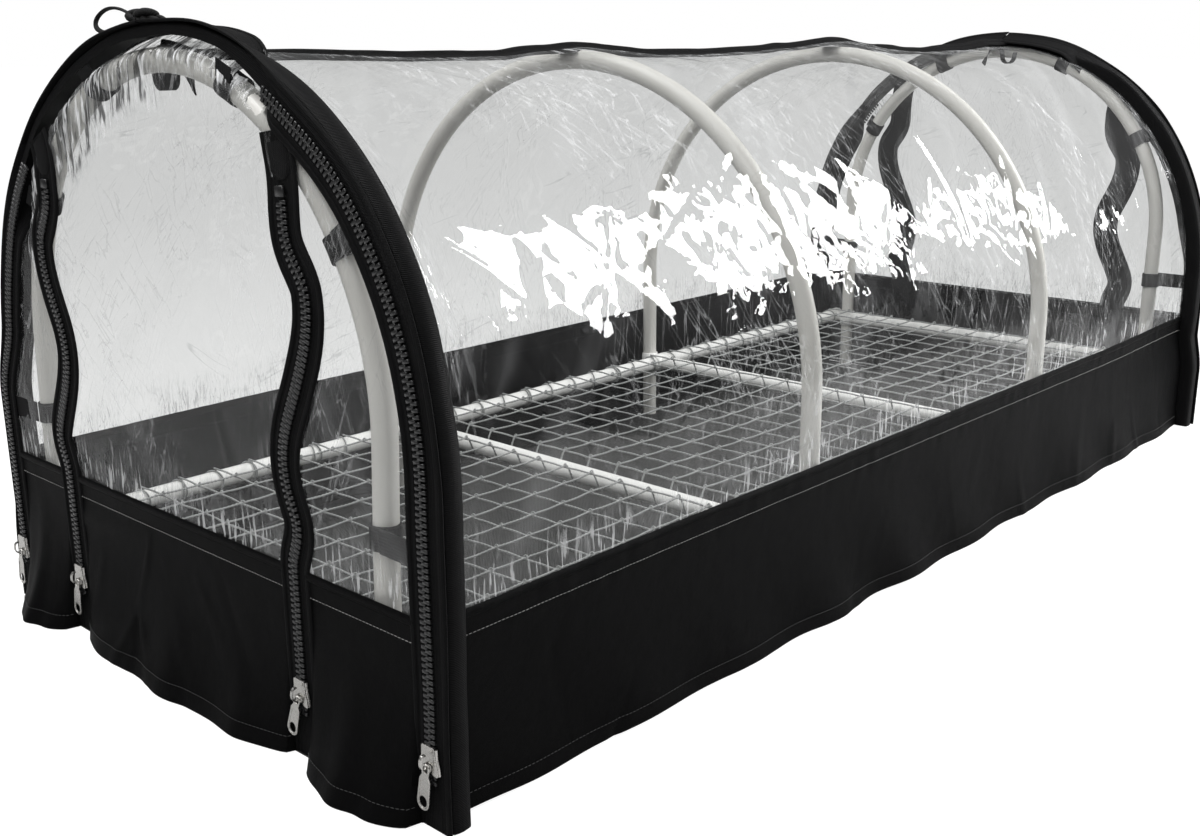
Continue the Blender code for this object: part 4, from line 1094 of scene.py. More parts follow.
def hoop_stops():
    """Places along the bed where hoops carry the side film."""
    mid = leg_place("hoop_rear_mid")[0]
    return (-SIDE_HALF_LENGTH, -mid, mid, SIDE_HALF_LENGTH)


CRUSH = (   # place along the bed and up the film, reach along and up, strength
    (-0.34, 0.235, 0.17, 0.085, 1.0), (-0.55, 0.250, 0.10, 0.080, 0.45), (-0.13, 0.155, 0.12, 0.075, 0.75),
    (0.17, 0.180, 0.06, 0.11, 0.7), (0.47, 0.160, 0.16, 0.10, 0.4))


def crushed_zone(x, s):
    """How far a side film is crushed, from 0 to 1."""
    crushed = sum(share * np.exp(-(((x - at_x) / wide_x) ** 2 + ((s - at_s) / wide_s) ** 2))
                  for at_x, at_s, wide_x, wide_s, share in CRUSH)
    return np.clip(crushed * 1.25, 0.0, 1.0)


def side_film_relief(x, s, total, side):
    """Relief of a side film: sag between hoops, crushed zones, pleats and wrinkles."""
    seed = 100 if side > 0 else 200
    stops = hoop_stops()
    sag = np.zeros(x.shape)
    hold = np.zeros(x.shape)
    for low, high in zip(stops, stops[1:]):
        inside = (x >= low) & (x <= high)
        sag = np.where(inside, np.sin(math.pi * np.clip((x - low) / (high - low), 0, 1)) ** 2, sag)
    for stop in stops[1:-1]:
        hold = np.maximum(hold, 1.0 - smoothstep((np.abs(x - stop) - 0.008) / 0.02))
    relief = -FILM_SAG * sag * np.sin(math.pi * np.clip(s / total, 0, 1))
    crushed = crushed_zone(x, s)
    relief += (0.0014 + 0.0020 * crushed) * facets(x, s, seed + 3, 0.070)
    relief += (0.0004 + 0.0014 * crushed) * facets(x, s, seed + 5, 0.028)
    relief += 0.0012 * ripple(x, s, seed + 9, 0.11, 0.07)
    relief += creases(x, s, seed + 11, 90, (-0.7, 0.7), (0.02, total), (20, 160), (0.05, 0.22),
                      (0.004, 0.012), (-0.0012, 0.0016))
    relief += creases(x, s, seed + 12, 120, (-0.7, 0.7), (total - 0.09, total), (70, 110), (0.04, 0.14),
                      (0.003, 0.006), (-0.0008, 0.0010))
    relief += creases(x, s, seed + 13, 130, (-0.7, 0.7), (0.0, 0.05), (65, 115), (0.03, 0.12),
                      (0.003, 0.006), (-0.0008, 0.0010))
    fade = smoothstep(s / 0.02) * smoothstep((total - s) / 0.02)
    fade *= smoothstep((SIDE_HALF_LENGTH - np.abs(x)) / 0.02)
    relief *= fade
    return np.where(hold > 0, np.maximum(relief, -0.004 * (1 - hold) + 0.0002), relief)


def end_slack(x, side, angle, z):
    """How far outwards a long side lies near the two ends, to meet their arches."""
    near = smoothstep((np.abs(x) - SIDE_HALF_LENGTH + END_REACH) / END_REACH)
    front = arch_slack(ENDS[0], side, angle, z)
    rear = arch_slack(ENDS[1], -side, angle, z)
    return near * np.where(x < 0, front, rear)


def build_side_film(side):
    """One clear side film from the skirt to the ridge."""
    name = "left" if side > 0 else "right"
    wall = SPRING_Z - SKIRT_TOP
    end_angle = math.acos((RIDGE_HALF_WIDTH - 0.004) / HALF_WIDTH)
    total = wall + HALF_WIDTH * end_angle
    rows = 451
    columns = 211
    length = SIDE_HALF_LENGTH - 0.0002
    x, s = np.meshgrid(np.linspace(-length, length, rows), np.linspace(0.0, total, columns),
                       indexing="ij")
    angle = np.clip((s - wall) / HALF_WIDTH, 0.0, None)
    relief = side_film_relief(x, s, total, side)
    lift = ridge_lift(x) * smoothstep(1.0 - (total - s) / RIDGE_REACH)
    height = SKIRT_TOP + np.minimum(s, wall) + HALF_WIDTH * np.sin(angle)
    relief = relief + end_slack(x, side, angle, height)
    relief = relief + edge_lift(x, side, angle)
    y = (HALF_WIDTH + relief) * np.cos(angle)
    z = height + relief * np.sin(angle) + lift
    # The mark is highest at the seams and edges, where the film gets painted shade lines and painted
    # highlight streaks; below 0 it tells how crushed the film is.
    mark = 1.0 - smoothstep((s - 0.004) / 0.05)
    mark = np.maximum(mark, 0.7 * (1.0 - smoothstep((SIDE_HALF_LENGTH - np.abs(x)) / 0.05)))
    mark = np.maximum(mark, 0.8 * (1.0 - smoothstep((total - s) / 0.07)))
    mark = np.where(mark > 0.02, mark, -crushed_zone(x, s))
    points = np.stack([x, side * y, z], -1)
    shape = Shape()
    faces = grid_faces(rows, columns)
    shape.add(points, [faces if side < 0 else faces[:, ::-1]], np.stack([x, s, mark], -1), closed=False)
    film = shape.build("side_film_" + name + "_sheet", FILM, "curtain_" + name, ["side_film_" + name],
                       0.0)


def fold(share, row_share, folds, shift):
    """Main folds of a skirt, as in the solids, in shares of their full depth."""
    edge = np.sqrt(np.clip(np.sin(math.pi * np.clip(share, 0.0, 1.0)), 0.0, 1.0))
    drop = (1.0 - row_share) ** 1.3
    wave = 0.5 - 0.5 * np.cos(2.0 * math.pi * (folds * share + shift * row_share))
    uneven = 0.75 + 0.25 * np.sin(5.0 * math.pi * share + 1.0)
    return edge * drop * wave * uneven, edge * drop * (1.0 - row_share)


WELT_HEIGHT = 0.0075
WELT_PROUD = 0.0016
HEM_HEIGHT = 0.015


def skirt_rows(top):
    """Heights of a skirt's rows, closer where its bands step."""
    band = top - HEM_BAND
    plain = np.linspace(FLOOR_GAP, band - 0.004, 22)
    close = [band - 0.0015, band - 0.0006, band + 0.0006, band + 0.0015, band + 0.006]
    welt = [top - WELT_HEIGHT - 0.0009, top - WELT_HEIGHT, top - WELT_HEIGHT * 0.8,
            top - WELT_HEIGHT * 0.5, top - WELT_HEIGHT * 0.2, top]
    return np.concatenate([plain, close, welt])


def skirt_steps(z, top):
    """How far the bands of a skirt stand out at a height."""
    band = 0.0007 * smoothstep((z - (top - HEM_BAND - 0.0006)) / 0.0012)
    share = np.clip((z - (top - WELT_HEIGHT)) / WELT_HEIGHT, 0.0, 1.0)
    welt = WELT_PROUD * np.sqrt(np.clip(4.0 * share * (1.0 - share), 0.0, 1.0))
    return band + np.where(z > top - WELT_HEIGHT, welt, 0.0)


SEAM_PROUD = 0.00025
SEAMS = (("_stitches", SKIRT_TOP - HEM_BAND + 0.0012, THREAD), ("_hem_stitches", HEM_HEIGHT, DARK_THREAD))
FLAP_REACH = 0.007        # how far the turned-in hem reaches inside the plain skirt line
FLAP_HEIGHT = 0.0042


def hem_flap(shape, edge, inward, reach, axis):
    """The hem turned in over the ground sheet, from a skirt's lower edge to a distance inside."""
    share = np.linspace(0.0, 1.0, 6)[None, :, None]
    start = edge + np.array(inward) * 0.0003
    end = start.copy()
    end[:, axis] = np.sign(edge[:, axis]) * reach
    front = start[:, None] * (1.0 - share) + end[:, None] * share
    level = np.maximum(edge[:, 2], 0.0016)[:, None]
    front[..., 2] = level + (FLAP_HEIGHT - level) * smoothstep(share[..., 0])
    slab(shape, front, front - (0.0, 0.0, 0.0006), front)


def skirt_seams(node, body, heights, front, out):
    """The stitches of a skirt's top band and hem, a little proud of its face."""
    threads = []
    for word, level, material in SEAMS:
        k = int(np.argmin(np.abs(heights - level)))
        line = front[:, k] + np.array(out) * SEAM_PROUD
        line[:, 2] += level - heights[k]
        seam = Shape()
        stitches(seam, line, out)
        threads.append(seam.build(node + word, material, body, ()))
    return threads


def build_side_skirt(side):
    """One black side skirt with its folds, top band, welt, hem and stitches."""
    name = "left" if side > 0 else "right"
    seed = 300 if side > 0 else 400
    length = SIDE_HALF_LENGTH
    heights = skirt_rows(SKIRT_TOP)
    x, z = np.meshgrid(np.linspace(-length, length, 361), heights, indexing="ij")
    share = (x + length) / (2.0 * length)
    row_share = np.clip((z - FLOOR_GAP) / (SKIRT_TOP - HEM_BAND - FLOOR_GAP), 0.0, 1.0)
    waves, flare = fold(share, row_share, SIDE_FOLDS, SIDE_FOLD_SHIFT)
    out = HALF_WIDTH + 0.007 * waves + 0.010 * flare + end_slack(x, side, 0.0, z)
    loose = (1.0 - row_share) ** 0.7
    out = out + loose * 0.0018 * ripple(x, z, seed, 0.08, 0.11)
    out = out + loose * creases(x, z, seed + 1, 24, (-0.7, 0.7), (0.0, 0.13), (55, 125), (0.06, 0.16),
                                (0.008, 0.020), (-0.0014, 0.0018))
    out = out + 0.0006 * ripple(x, z, seed + 2, 0.012, 0.02) * smoothstep((z - 0.12) / 0.03)
    out = out + skirt_steps(z, SKIRT_TOP)
    hem = 0.0007 * (1.0 - smoothstep((z - HEM_HEIGHT) / 0.0015))
    lift = (1.0 - row_share) ** 6 * 0.0028 * (1.0 + wander(x, seed + 3, 0.07)) / 2.0
    front = np.stack([x, side * (out + hem), z + lift], -1)
    marks = np.stack([x, z, np.zeros(x.shape)], -1)
    shape = Shape()
    slab_along(shape, front, marks, (0.0, -side, 0.0))
    hem_flap(shape, front[:, 0], (0.0, -side, 0.0), np.full(len(front), HALF_WIDTH - FLAP_REACH), 1)
    node = "side_skirt_" + name
    skirt = shape.build(node + "_cloth", SKIRT, "curtain_" + name, [node], 40.0)
    threads = skirt_seams(node, "curtain_" + name, heights, front, (0.0, side, 0.0))


def build_ridge():
    """The black binding folded over the ridge seam."""
    x = np.linspace(-SIDE_HALF_LENGTH, SIDE_HALF_LENGTH, 241)
    z = RIDGE_Z + ridge_lift(x) + 0.0006 * wander(x, 31, 0.03) + edge_lift(x, 1.0, math.pi / 2.0)
    path = np.stack([x, 0.0012 * wander(x, 32, 0.09), z], 1)
    half = RIDGE_HALF_WIDTH
    profile = [(-half, -0.0034), (-half - 0.0006, -0.0018), (-half * 0.8, 0.0006), (-0.0046, 0.0018),
               (-0.0036, 0.0036), (-0.0030, 0.0052), (-0.0012, 0.0062), (0.0012, 0.0062), (0.0030, 0.0052),
               (0.0036, 0.0036), (0.0046, 0.0018), (half * 0.8, 0.0006), (half + 0.0006, -0.0018),
               (half, -0.0034), (half * 0.6, -0.0008), (-half * 0.6, -0.0008)]
    shape = Shape()
    sweep(shape, path, (0.0, 1.0, 0.0), (0.0, 0.0, 1.0), profile)
    shape.build("ridge_binding_tape", BINDING, "frame", ["ridge_binding"])


# Cover: the ends


# Outward places of the front binding's section where the tape is turned back over it
LIP_PROFILE = (-0.0095, -0.0075, -0.0068, -0.0060, -0.0048, -0.0018, 0.0, -0.0010, -0.0034, -0.0080, -0.0105)
BINDING_DROP = 0.0110     # how far the binding's back edge sinks under the turned-back tape


def build_arch_binding(end):
    """The bound edge round an end, from floor to floor."""
    points, out = arch_path(ARCH_RADIUS, FLOOR_GAP, 90.0, 0.006)
    angle = np.arctan2(out[:, 1], out[:, 0])
    halves = [points + out * arch_slack(end, side, angle, points[:, 1])[:, None] for side in (1.0, -1.0)]
    left = np.concatenate([halves[0], halves[1][-2::-1] * (-1.0, 1.0)])
    out = np.concatenate([out, out[-2::-1] * (-1.0, 1.0)])
    run = distances(left)
    slack = 0.0010 * wander(run, 51, 0.045)
    left = left + out * (slack - 0.0010)[:, None]
    deep = BINDING_OUTER_X - BINDING_INNER_X
    thick = ARCH_RADIUS - HALF_WIDTH + 0.0005
    edge = [(-thick, -deep), (-0.006, -deep), (-0.0022, -deep + 0.0006), (-0.0006, -deep + 0.0024),
            (0.0, -deep + 0.006), (0.0004, -deep * 0.5), (0.0, -0.006), (-0.0010, -0.0022),
            (-0.0034, -0.0006), (-0.008, -0.0002), (-thick, -0.0002)]
    half_tuck = [tape_tuck(end, side, angle) for side in (1.0, -1.0)]
    tuck = np.concatenate([half_tuck[0], half_tuck[1][-2::-1]])[:, None]
    profile = np.repeat(np.array(edge)[None], len(left), 0)
    if end.sign > 0:
        profile[..., 0] += tuck * (np.array(LIP_PROFILE) - profile[..., 0])
    else:
        profile[..., 0] += tuck * BINDING_DROP * profile[..., 1] / deep * (profile[..., 0] > -0.012)
    shape = Shape()
    end_sweep(shape, end, 1.0, left, out, profile, BINDING_OUTER_X)
    shape.build("arch_binding_%s_tape" % end.name, BINDING, "frame", ["arch_binding_" + end.name])


def tape_profile():
    """Section of a zip tape: flat, with a rolled bound edge on each side."""
    half = TAPE_WIDTH / 2.0
    edge = 0.0052
    flat = TAPE_THICKNESS
    roll = [(half, -0.0002), (half + 0.0004, 0.0008), (half - 0.0002, 0.0018), (half - 0.0014, 0.0023),
            (half - edge * 0.6, 0.0023), (half - edge + 0.0004, 0.0018), (half - edge, flat)]
    outer = roll + [(0.0092, flat), (0.0088, flat + 0.00035), (0.0084, flat), (0.0062, flat)]
    mirror = [(-w, n) for w, n in reversed(outer)]
    return np.array(outer + mirror)


TAPE_FLAT = 0.0094        # half width of the flat middle of the outer tape, with the teeth


def turn_back(profile, turn):
    """A tape's section (outward, forward) turned back about its outer edge."""
    depth = TAPE_WIDTH / 2.0 - profile[..., 0]
    return np.stack([TAPE_WIDTH / 2.0 - depth * np.cos(turn) + profile[..., 1] * np.sin(turn),
                     profile[..., 1] * np.cos(turn) - depth * np.sin(turn)], -1)


def tooth_body():
    """One moulded tooth: a rounded block with a narrower head."""
    points, faces = soft_box((0.00165, 0.0034, 0.0013), 0.00055)
    head = points[:, 1] > 0.0
    points[head, 0] *= 0.78
    points[:, 1] -= 0.0023
    return points, faces


def add_teeth(shape, end, side, path, out, x, low, high):
    """Two rows of interlocking teeth along a path, between two distances along it."""
    run = distances(path)
    at = np.arange(low, high, TOOTH_PITCH / 2.0)
    place = np.stack([np.interp(at, run, path[:, k]) for k in range(2)], 1)
    outward = unit(np.stack([np.interp(at, run, out[:, k]) for k in range(2)], 1))
    along = np.stack([-outward[:, 1], outward[:, 0]], 1)
    sign = np.where(np.arange(len(at)) % 2 == 0, 1.0, -1.0)
    places = np.zeros((len(at), 4, 4))
    places[:, 1, 0] = side * along[:, 0]
    places[:, 2, 0] = along[:, 1]
    places[:, 1, 1] = -side * outward[:, 0] * sign
    places[:, 2, 1] = -outward[:, 1] * sign
    places[:, 0, 2] = -1.0
    places[:, 0, 3] = -x - TAPE_THICKNESS - 0.0011
    places[:, 1, 3] = side * place[:, 0]
    places[:, 2, 3] = place[:, 1]
    places[:, 3, 3] = 1.0
    places[:, :2] *= end.sign
    points, faces = tooth_body()
    shape.copies(points, faces, places)


def build_outer_zip(end, side):
    """A zip from the floor up the edge of the end wall and round the arch to the apex."""
    name = end.side_name(side)
    node = "zip_outer_" + name
    seed = 500 + int(10 * side) + int(100 * end.sign)
    path, out = arch_path(OUTER_ZIP_Y, FLOOR_GAP, 89.9, 0.004)
    run = distances(path)
    angle = np.arctan2(out[:, 1], out[:, 0])
    loose = smoothstep((path[:, 1] - RUN_TOP - 0.02) / 0.04)
    slack = zip_slack(end, side, angle, path[:, 1])
    drawn_in = (arch_slack(end, side, angle, path[:, 1]) - slack)[:, None]
    path = path + out * (0.0012 * loose * wander(run, seed, 0.06) + slack)[:, None]
    tape = Shape()
    turn = tape_turn(end, side, angle)[:, None]
    profile = np.repeat(tape_profile()[None], len(path), 0)
    outer_half = np.clip((profile[..., 0] - TAPE_FLAT) / (TAPE_WIDTH / 2.0 - TAPE_FLAT), 0.0, 1.0)
    profile[..., 0] += drawn_in * outer_half
    profile = turn_back(profile, turn)
    end_sweep(tape, end, side, path, out, profile, TAPE_BACK_X)
    tape.build(node + "_tape", TAPE, "frame", [node])
    teeth = Shape()
    end_angle = OUTER_CHAIN_END if side * end.sign < 0 else LEFT_CHAIN_END
    stop = SPRING_Z - FLOOR_GAP + OUTER_ZIP_Y * math.radians(end_angle)
    add_teeth(teeth, end, side, path, out, TAPE_BACK_X, CHAIN_START, stop)
    teeth.build(node + "_teeth", TEETH, "frame", ())


def inner_zip_path(end, side):
    """Centre line (y, z) of an inner zip, mirrored so that outwards is +Y, with its directions."""
    z = np.linspace(FLOOR_GAP, DOOR_TOP + ZIP_TOP_RISE, 160)
    bend = ZIP_TOP_BEND if side > 0 else -0.4 * ZIP_TOP_BEND
    y = side * inner_zip_y(z, side) + bend * smoothstep((z - DOOR_TOP - 0.012) / 0.075)
    path = np.stack([y, z], 1)
    rise = np.maximum(z - SPRING_Z, 0.0)
    limit = ARCH_RADIUS - ZIP_TOP_INSET + arch_slack(end, side, np.arctan2(rise, y), z)
    path = path[np.hypot(y, rise) < limit]
    path = resample(path, 0.004)
    along = tangents(path)
    return path, np.stack([along[:, 1], -along[:, 0]], 1)


def build_inner_zip(end, side):
    """A slack zip between the door and the side strip."""
    name = end.side_name(side)
    node = "zip_inner_" + name
    path, out = inner_zip_path(end, side)
    run = distances(path)
    behind = ZIP_TOP_DEPTH * smoothstep((path[:, 1] - DOOR_TOP - 0.006) / 0.04)
    profile = np.repeat(tape_profile()[None], len(path), 0)
    profile[..., 1] -= behind[:, None]
    tape = Shape()
    end_sweep(tape, end, side, path, out, profile, TAPE_BACK_X)
    tape.build(node + "_tape", TAPE, "frame", [node])
    teeth = Shape()
    top = run[-1] - CHAIN_TOP
    add_teeth(teeth, end, side, path, out, TAPE_BACK_X, CHAIN_START, top)
    teeth.build(node + "_teeth", TEETH, "frame", ())
    k = int(np.argmin(np.abs(run - top - 0.005)))
    along = tangents(path)[k]
    stop, faces = soft_box((0.0016, 0.0052, 0.0042), 0.0008)
    turned_stop = np.stack([-stop[:, 0], stop[:, 1] * along[1] + stop[:, 2] * along[0],
                            stop[:, 2] * along[1] - stop[:, 1] * along[0]], 1)
    place = np.array((-TAPE_BACK_X - TAPE_THICKNESS - 0.0014, path[k, 0], path[k, 1]))
    block = Shape()
    block.add(end.put((turned_stop + place) * (1.0, side, 1.0)), faces)
    block.build(node + "_stop", TEETH, "frame", ())
    span = (run > top + 0.011) & (run < run[-1] - 0.004)
    share = np.linspace(-1.0, 1.0, 13)
    width = 0.0125 * smoothstep((run[span] - top - 0.006) / 0.016)[:, None]
    crown = np.sqrt(np.clip(1.0 - share ** 2, 0.0, 1.0))
    rise = 0.0014 * crown * smoothstep((run[span] - top - 0.009) / 0.01)[:, None]
    y = path[span, 0][:, None] + out[span, 0][:, None] * width * share
    z = path[span, 1][:, None] + out[span, 1][:, None] * width * share
    x = -TAPE_BACK_X - TAPE_THICKNESS - 0.0001 - rise + behind[span][:, None]
    front = np.stack([np.broadcast_to(x, y.shape), side * y, z], -1)
    patch = Shape()
    slab(patch, end.put(front), end.put(front + (0.0009, 0.0, 0.0)), np.stack([y, z, 0.0 * y], -1))
    patch.build(node + "_pocket", BINDING, "frame", ())


def end_film_relief(y, z, seed):
    """Relief of a film in an end wall: soft waves and upright streaks."""
    relief = 0.0016 * ripple(y, z, seed, 0.09, 0.16) + 0.0008 * facets(y, z, seed + 1, 0.07)
    relief += creases(y, z, seed + 2, 30, (-0.3, 0.3), (0.20, 0.54), (70, 110), (0.05, 0.20),
                      (0.004, 0.010), (-0.0010, 0.0012))
    relief += creases(y, z, seed + 3, 70, (-0.3, 0.3), (0.165, 0.195), (68, 112), (0.03, 0.09),
                      (0.002, 0.005), (-0.0010, 0.0012))
    return relief


def film_edge(end, side, angle, z):
    """Radius and depth of an end film's outer edge, which follows the turned-back tape."""
    turn = tape_turn(end, side, angle)
    width = TAPE_WIDTH - FILM_LAP
    radius = ARCH_RADIUS - width * np.cos(turn) + zip_slack(end, side, angle, z)
    if end.sign < 0:
        radius = radius - 0.007 * tape_tuck(end, side, angle)
    return radius, width * np.sin(turn)


def panel_edge(end, side, z):
    """Distance from the middle to the outer edge of an end film at each height, on one side."""
    rise = np.maximum(z - SPRING_Z, 0.0)
    reach = np.full(np.shape(z), PANEL_RADIUS)
    for _ in range(6):
        reach = film_edge(end, side, np.arcsin(np.clip(rise / reach, 0.0, 1.0)), z)[0]
    return np.sqrt(np.maximum(reach * reach - rise * rise, 0.0))


WRAP_START = 0.028        # an end film turns back over this width at its edge


def film_panel(shape, end, low_y, high_y, z, seed, columns):
    """A film between two edges, given by their y at each height."""
    share = np.linspace(0.0, 1.0, columns)
    y = low_y[:, None] + (high_y - low_y)[:, None] * share
    height = np.repeat(z[:, None], columns, 1)
    relief = end_film_relief(y, height, seed)
    relief *= smoothstep(share / 0.08) * smoothstep((1.0 - share) / 0.08)
    rise = np.maximum(height - SPRING_Z, 0.0)
    angle = np.arctan2(rise, np.abs(y))
    distance = np.hypot(y, rise)
    back = np.zeros(y.shape)
    wrap = np.zeros(y.shape)
    for side in (1.0, -1.0):
        here = (y * side >= 0.0)
        tuck = tape_tuck(end, side, angle)
        edge, depth = film_edge(end, side, angle, height)
        near = smoothstep((distance - edge + WRAP_START) / WRAP_START)
        wrap = np.where(here, tuck * near, wrap)
        back = np.where(here, depth * near ** 2, back)
    pleat = np.sin(angle * PANEL_RADIUS * 2.0 * math.pi / 0.011 + 3.0 * ripple(y, height, seed + 6, 0.05))
    relief += 0.0010 * wrap * (1.0 - wrap) * 4.0 * pleat
    # The mark is highest near the skirt and where the film turns back, for painted shade lines and painted
    # highlight streaks.
    mark = np.maximum(1.0 - smoothstep((height - SKIRT_TOP - 0.004) / 0.055), smoothstep(wrap * 2.0))
    mark = np.maximum(mark, 0.4 * (1.0 - smoothstep(share / 0.12)))
    # In front, over the hoop's shoulders, the mark rises to 2: there the film gets streaks of painted shade
    # and painted highlight.
    if end.sign > 0:
        turn = np.degrees(np.arctan2(rise, y))
        left = smoothstep((turn - 22.0) / 14.0) * (1.0 - smoothstep((turn - 88.0) / 10.0))
        inner = 0.243 + 0.030 * smoothstep((turn - 60.0) / 30.0)
        over = left * smoothstep((distance - inner) / 0.022)
        right = smoothstep((turn - 84.0) / 10.0) * (1.0 - smoothstep((turn - 122.0) / 10.0))
        over = np.maximum(over, right * smoothstep((distance - 0.318) / 0.008))
        mark = np.maximum(mark, 2.0 * over)
        relief += 0.0012 * over * ripple(y, height, seed + 7, 0.007, 0.05)
    x = -(TAPE_BACK_X - 0.0006) - relief + back
    points = end.put(np.stack([x, y, height], -1))
    shape.add(points, [grid_faces(len(z), columns)], np.stack([y, height, mark], -1), closed=False)
    return float(np.trapz(high_y - low_y, z))


def build_end_films(end):
    """The film of the door with the gable above it, and the two fixed strips."""
    tuck = TAPE_WIDTH / 2.0 - FILM_LAP
    top = SPRING_Z + film_edge(end, 1.0, math.pi / 2.0, DOOR_TOP)[0] - 0.0004
    z = np.concatenate([np.linspace(SKIRT_TOP - 0.003, DOOR_TOP, 90), np.linspace(DOOR_TOP, top, 61)[1:]])
    high = np.minimum(inner_zip_y(z, 1.0) - tuck, panel_edge(end, 1.0, z))
    low = np.maximum(inner_zip_y(z, -1.0) + tuck, -panel_edge(end, -1.0, z))
    shape = Shape()
    area = film_panel(shape, end, low, high, z, 600 if end.sign > 0 else 620, 150)
    door = shape.build("door_film_%s_sheet" % end.name, FILM, None, (), 0.0)
    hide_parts("door_film_" + end.name, "gable_film_" + end.name)
    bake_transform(door)
    wide = float(np.max(high - low))
    for side in (1.0, -1.0):
        name = end.side_name(side)
        reach = arch_height(INNER_ZIP_Y + tuck, PANEL_RADIUS) - 0.001
        z = np.linspace(SKIRT_TOP - 0.003, reach, 100)
        arch = panel_edge(end, side, z)
        inner = side * inner_zip_y(z, side) + tuck
        inner = np.minimum(inner, arch - 0.0005)
        shape = Shape()
        area = film_panel(shape, end, side * inner, side * arch, z, 640 + int(5 * side), 40)
        strip = shape.build("strip_film_%s_sheet" % name, FILM, "frame", ["strip_film_" + name],
                            0.0)
        wide = float(np.max(arch - inner))


def soft_folds(y, z, lines):
    """Rounded folds along lines, each given by its two ends (y, z), width and height."""
    relief = np.zeros(y.shape)
    for y0, z0, y1, z1, wide, high in lines:
        length = math.hypot(y1 - y0, z1 - z0)
        along = ((y - y0) * (y1 - y0) + (z - z0) * (z1 - z0)) / length
        across = ((z - z0) * (y1 - y0) - (y - y0) * (z1 - z0)) / length
        taper = np.sqrt(np.clip(4.0 * along / length * (1.0 - along / length), 0.0, 1.0))
        spread = wide * (0.45 + 0.55 * np.clip(along / length, 0.0, 1.0))
        relief += high * taper * np.exp(-(across / spread) ** 2)
    return relief


DOOR_SKIRT_LINES = (
    (0.060, 0.138, 0.085, 0.058, 0.007, 0.0016), (0.085, 0.058, 0.118, 0.000, 0.009, 0.0020),
    (0.085, 0.058, 0.078, 0.000, 0.007, -0.0014), (0.085, 0.058, 0.045, 0.002, 0.010, 0.0018),
    (0.060, 0.138, 0.225, 0.120, 0.012, 0.0018), (-0.010, 0.120, -0.075, 0.045, 0.010, 0.0014),
    (-0.050, 0.130, -0.110, 0.040, 0.012, -0.0014), (0.150, 0.100, 0.170, 0.010, 0.012, 0.0014))


def build_end_skirt(end, node, body, left, right, seed, folds, shift, reach, lines=()):
    """A black skirt between two edges of an end wall, with its folds, bands and stitches."""
    columns = max(30, round((left - right) / 0.0035))
    heights = skirt_rows(SKIRT_TOP)
    share, z = np.meshgrid(np.linspace(0.0, 1.0, columns), heights, indexing="ij")
    y = left + (right - left) * share
    row_share = np.clip((z - FLOOR_GAP) / (SKIRT_TOP - HEM_BAND - FLOOR_GAP), 0.0, 1.0)
    waves, flare = fold(share, row_share, folds, shift)
    loose = (1.0 - row_share) ** 0.7 * np.sqrt(np.clip(np.sin(math.pi * share), 0.0, 1.0))
    quick_edge = np.clip(np.sin(math.pi * np.clip(share, 0.0, 1.0)), 1e-6, 1.0) ** -0.22
    flare = flare * np.where(share * (1.0 - share) > 1e-5, quick_edge, 0.0)
    out = 0.007 * waves + reach * flare + soft_folds(y, z, lines)
    out = out + loose * 0.0018 * ripple(y, z, seed, 0.05, 0.08)
    out = out + loose * creases(y, z, seed + 1, round(columns / 10), (right, left), (0.0, 0.13), (55, 125),
                                (0.05, 0.14), (0.008, 0.018), (-0.0012, 0.0018))
    out = out + skirt_steps(z, SKIRT_TOP)
    hem = 0.0007 * (1.0 - smoothstep((z - HEM_HEIGHT) / 0.0015))
    lift = (1.0 - row_share) ** 6 * 0.0014 * (1.0 + wander(y, seed + 3, 0.07)) / 2.0
    x = -(TAPE_BACK_X + 0.0002) - out - hem
    front = end.put(np.stack([x, y, z + lift], -1))
    shape = Shape()
    marks = np.stack([y, z, np.zeros(y.shape)], -1)
    slab_along(shape, front, marks, (end.sign, 0.0, 0.0))
    hem_flap(shape, front[:, 0], (end.sign, 0.0, 0.0), np.full(columns, TAPE_BACK_X - FLAP_REACH), 0)
    skirt = shape.build(node + "_cloth", SKIRT, body, [node], 40.0)
    threads = skirt_seams(node, body, heights, front, (-end.sign, 0.0, 0.0))
    left - right


END_FLARE = {"front": (0.023, 0.029), "rear": (0.018, 0.020)}   # of the door skirt and the strips


def build_end_skirts(end):
    """The door skirt and the two strip skirts."""
    half = TAPE_WIDTH / 2.0 - SKIRT_LAP
    left = inner_zip_y(FLOOR_GAP, 1.0) - half
    right = inner_zip_y(FLOOR_GAP, -1.0) + half
    build_end_skirt(end, "door_skirt_" + end.name, "door_" + end.name, left, right,
                    700 if end.sign > 0 else 720, 3, 0.3, END_FLARE[end.name][0], DOOR_SKIRT_LINES)
    for side in (1.0, -1.0):
        inner = inner_zip_y(FLOOR_GAP, side) + side * half
        slack = max(0.0, float(zip_slack(end, side, 0.0, SKIRT_TOP)))
        outer = side * (ARCH_RADIUS - TAPE_WIDTH + SKIRT_LAP + slack)
        build_end_skirt(end, "strip_skirt_" + end.side_name(side), "frame", max(inner, outer),
                        min(inner, outer), 740 + int(5 * side), 1, 0.2, END_FLARE[end.name][1])


# Hoop straps, ties


STRAP_WIDTH = 0.020
STRAP_THICKNESS = 0.0015
STRAP_ANGLES = (31.5, 67.5)
STRAP_LEG_Z = 0.215


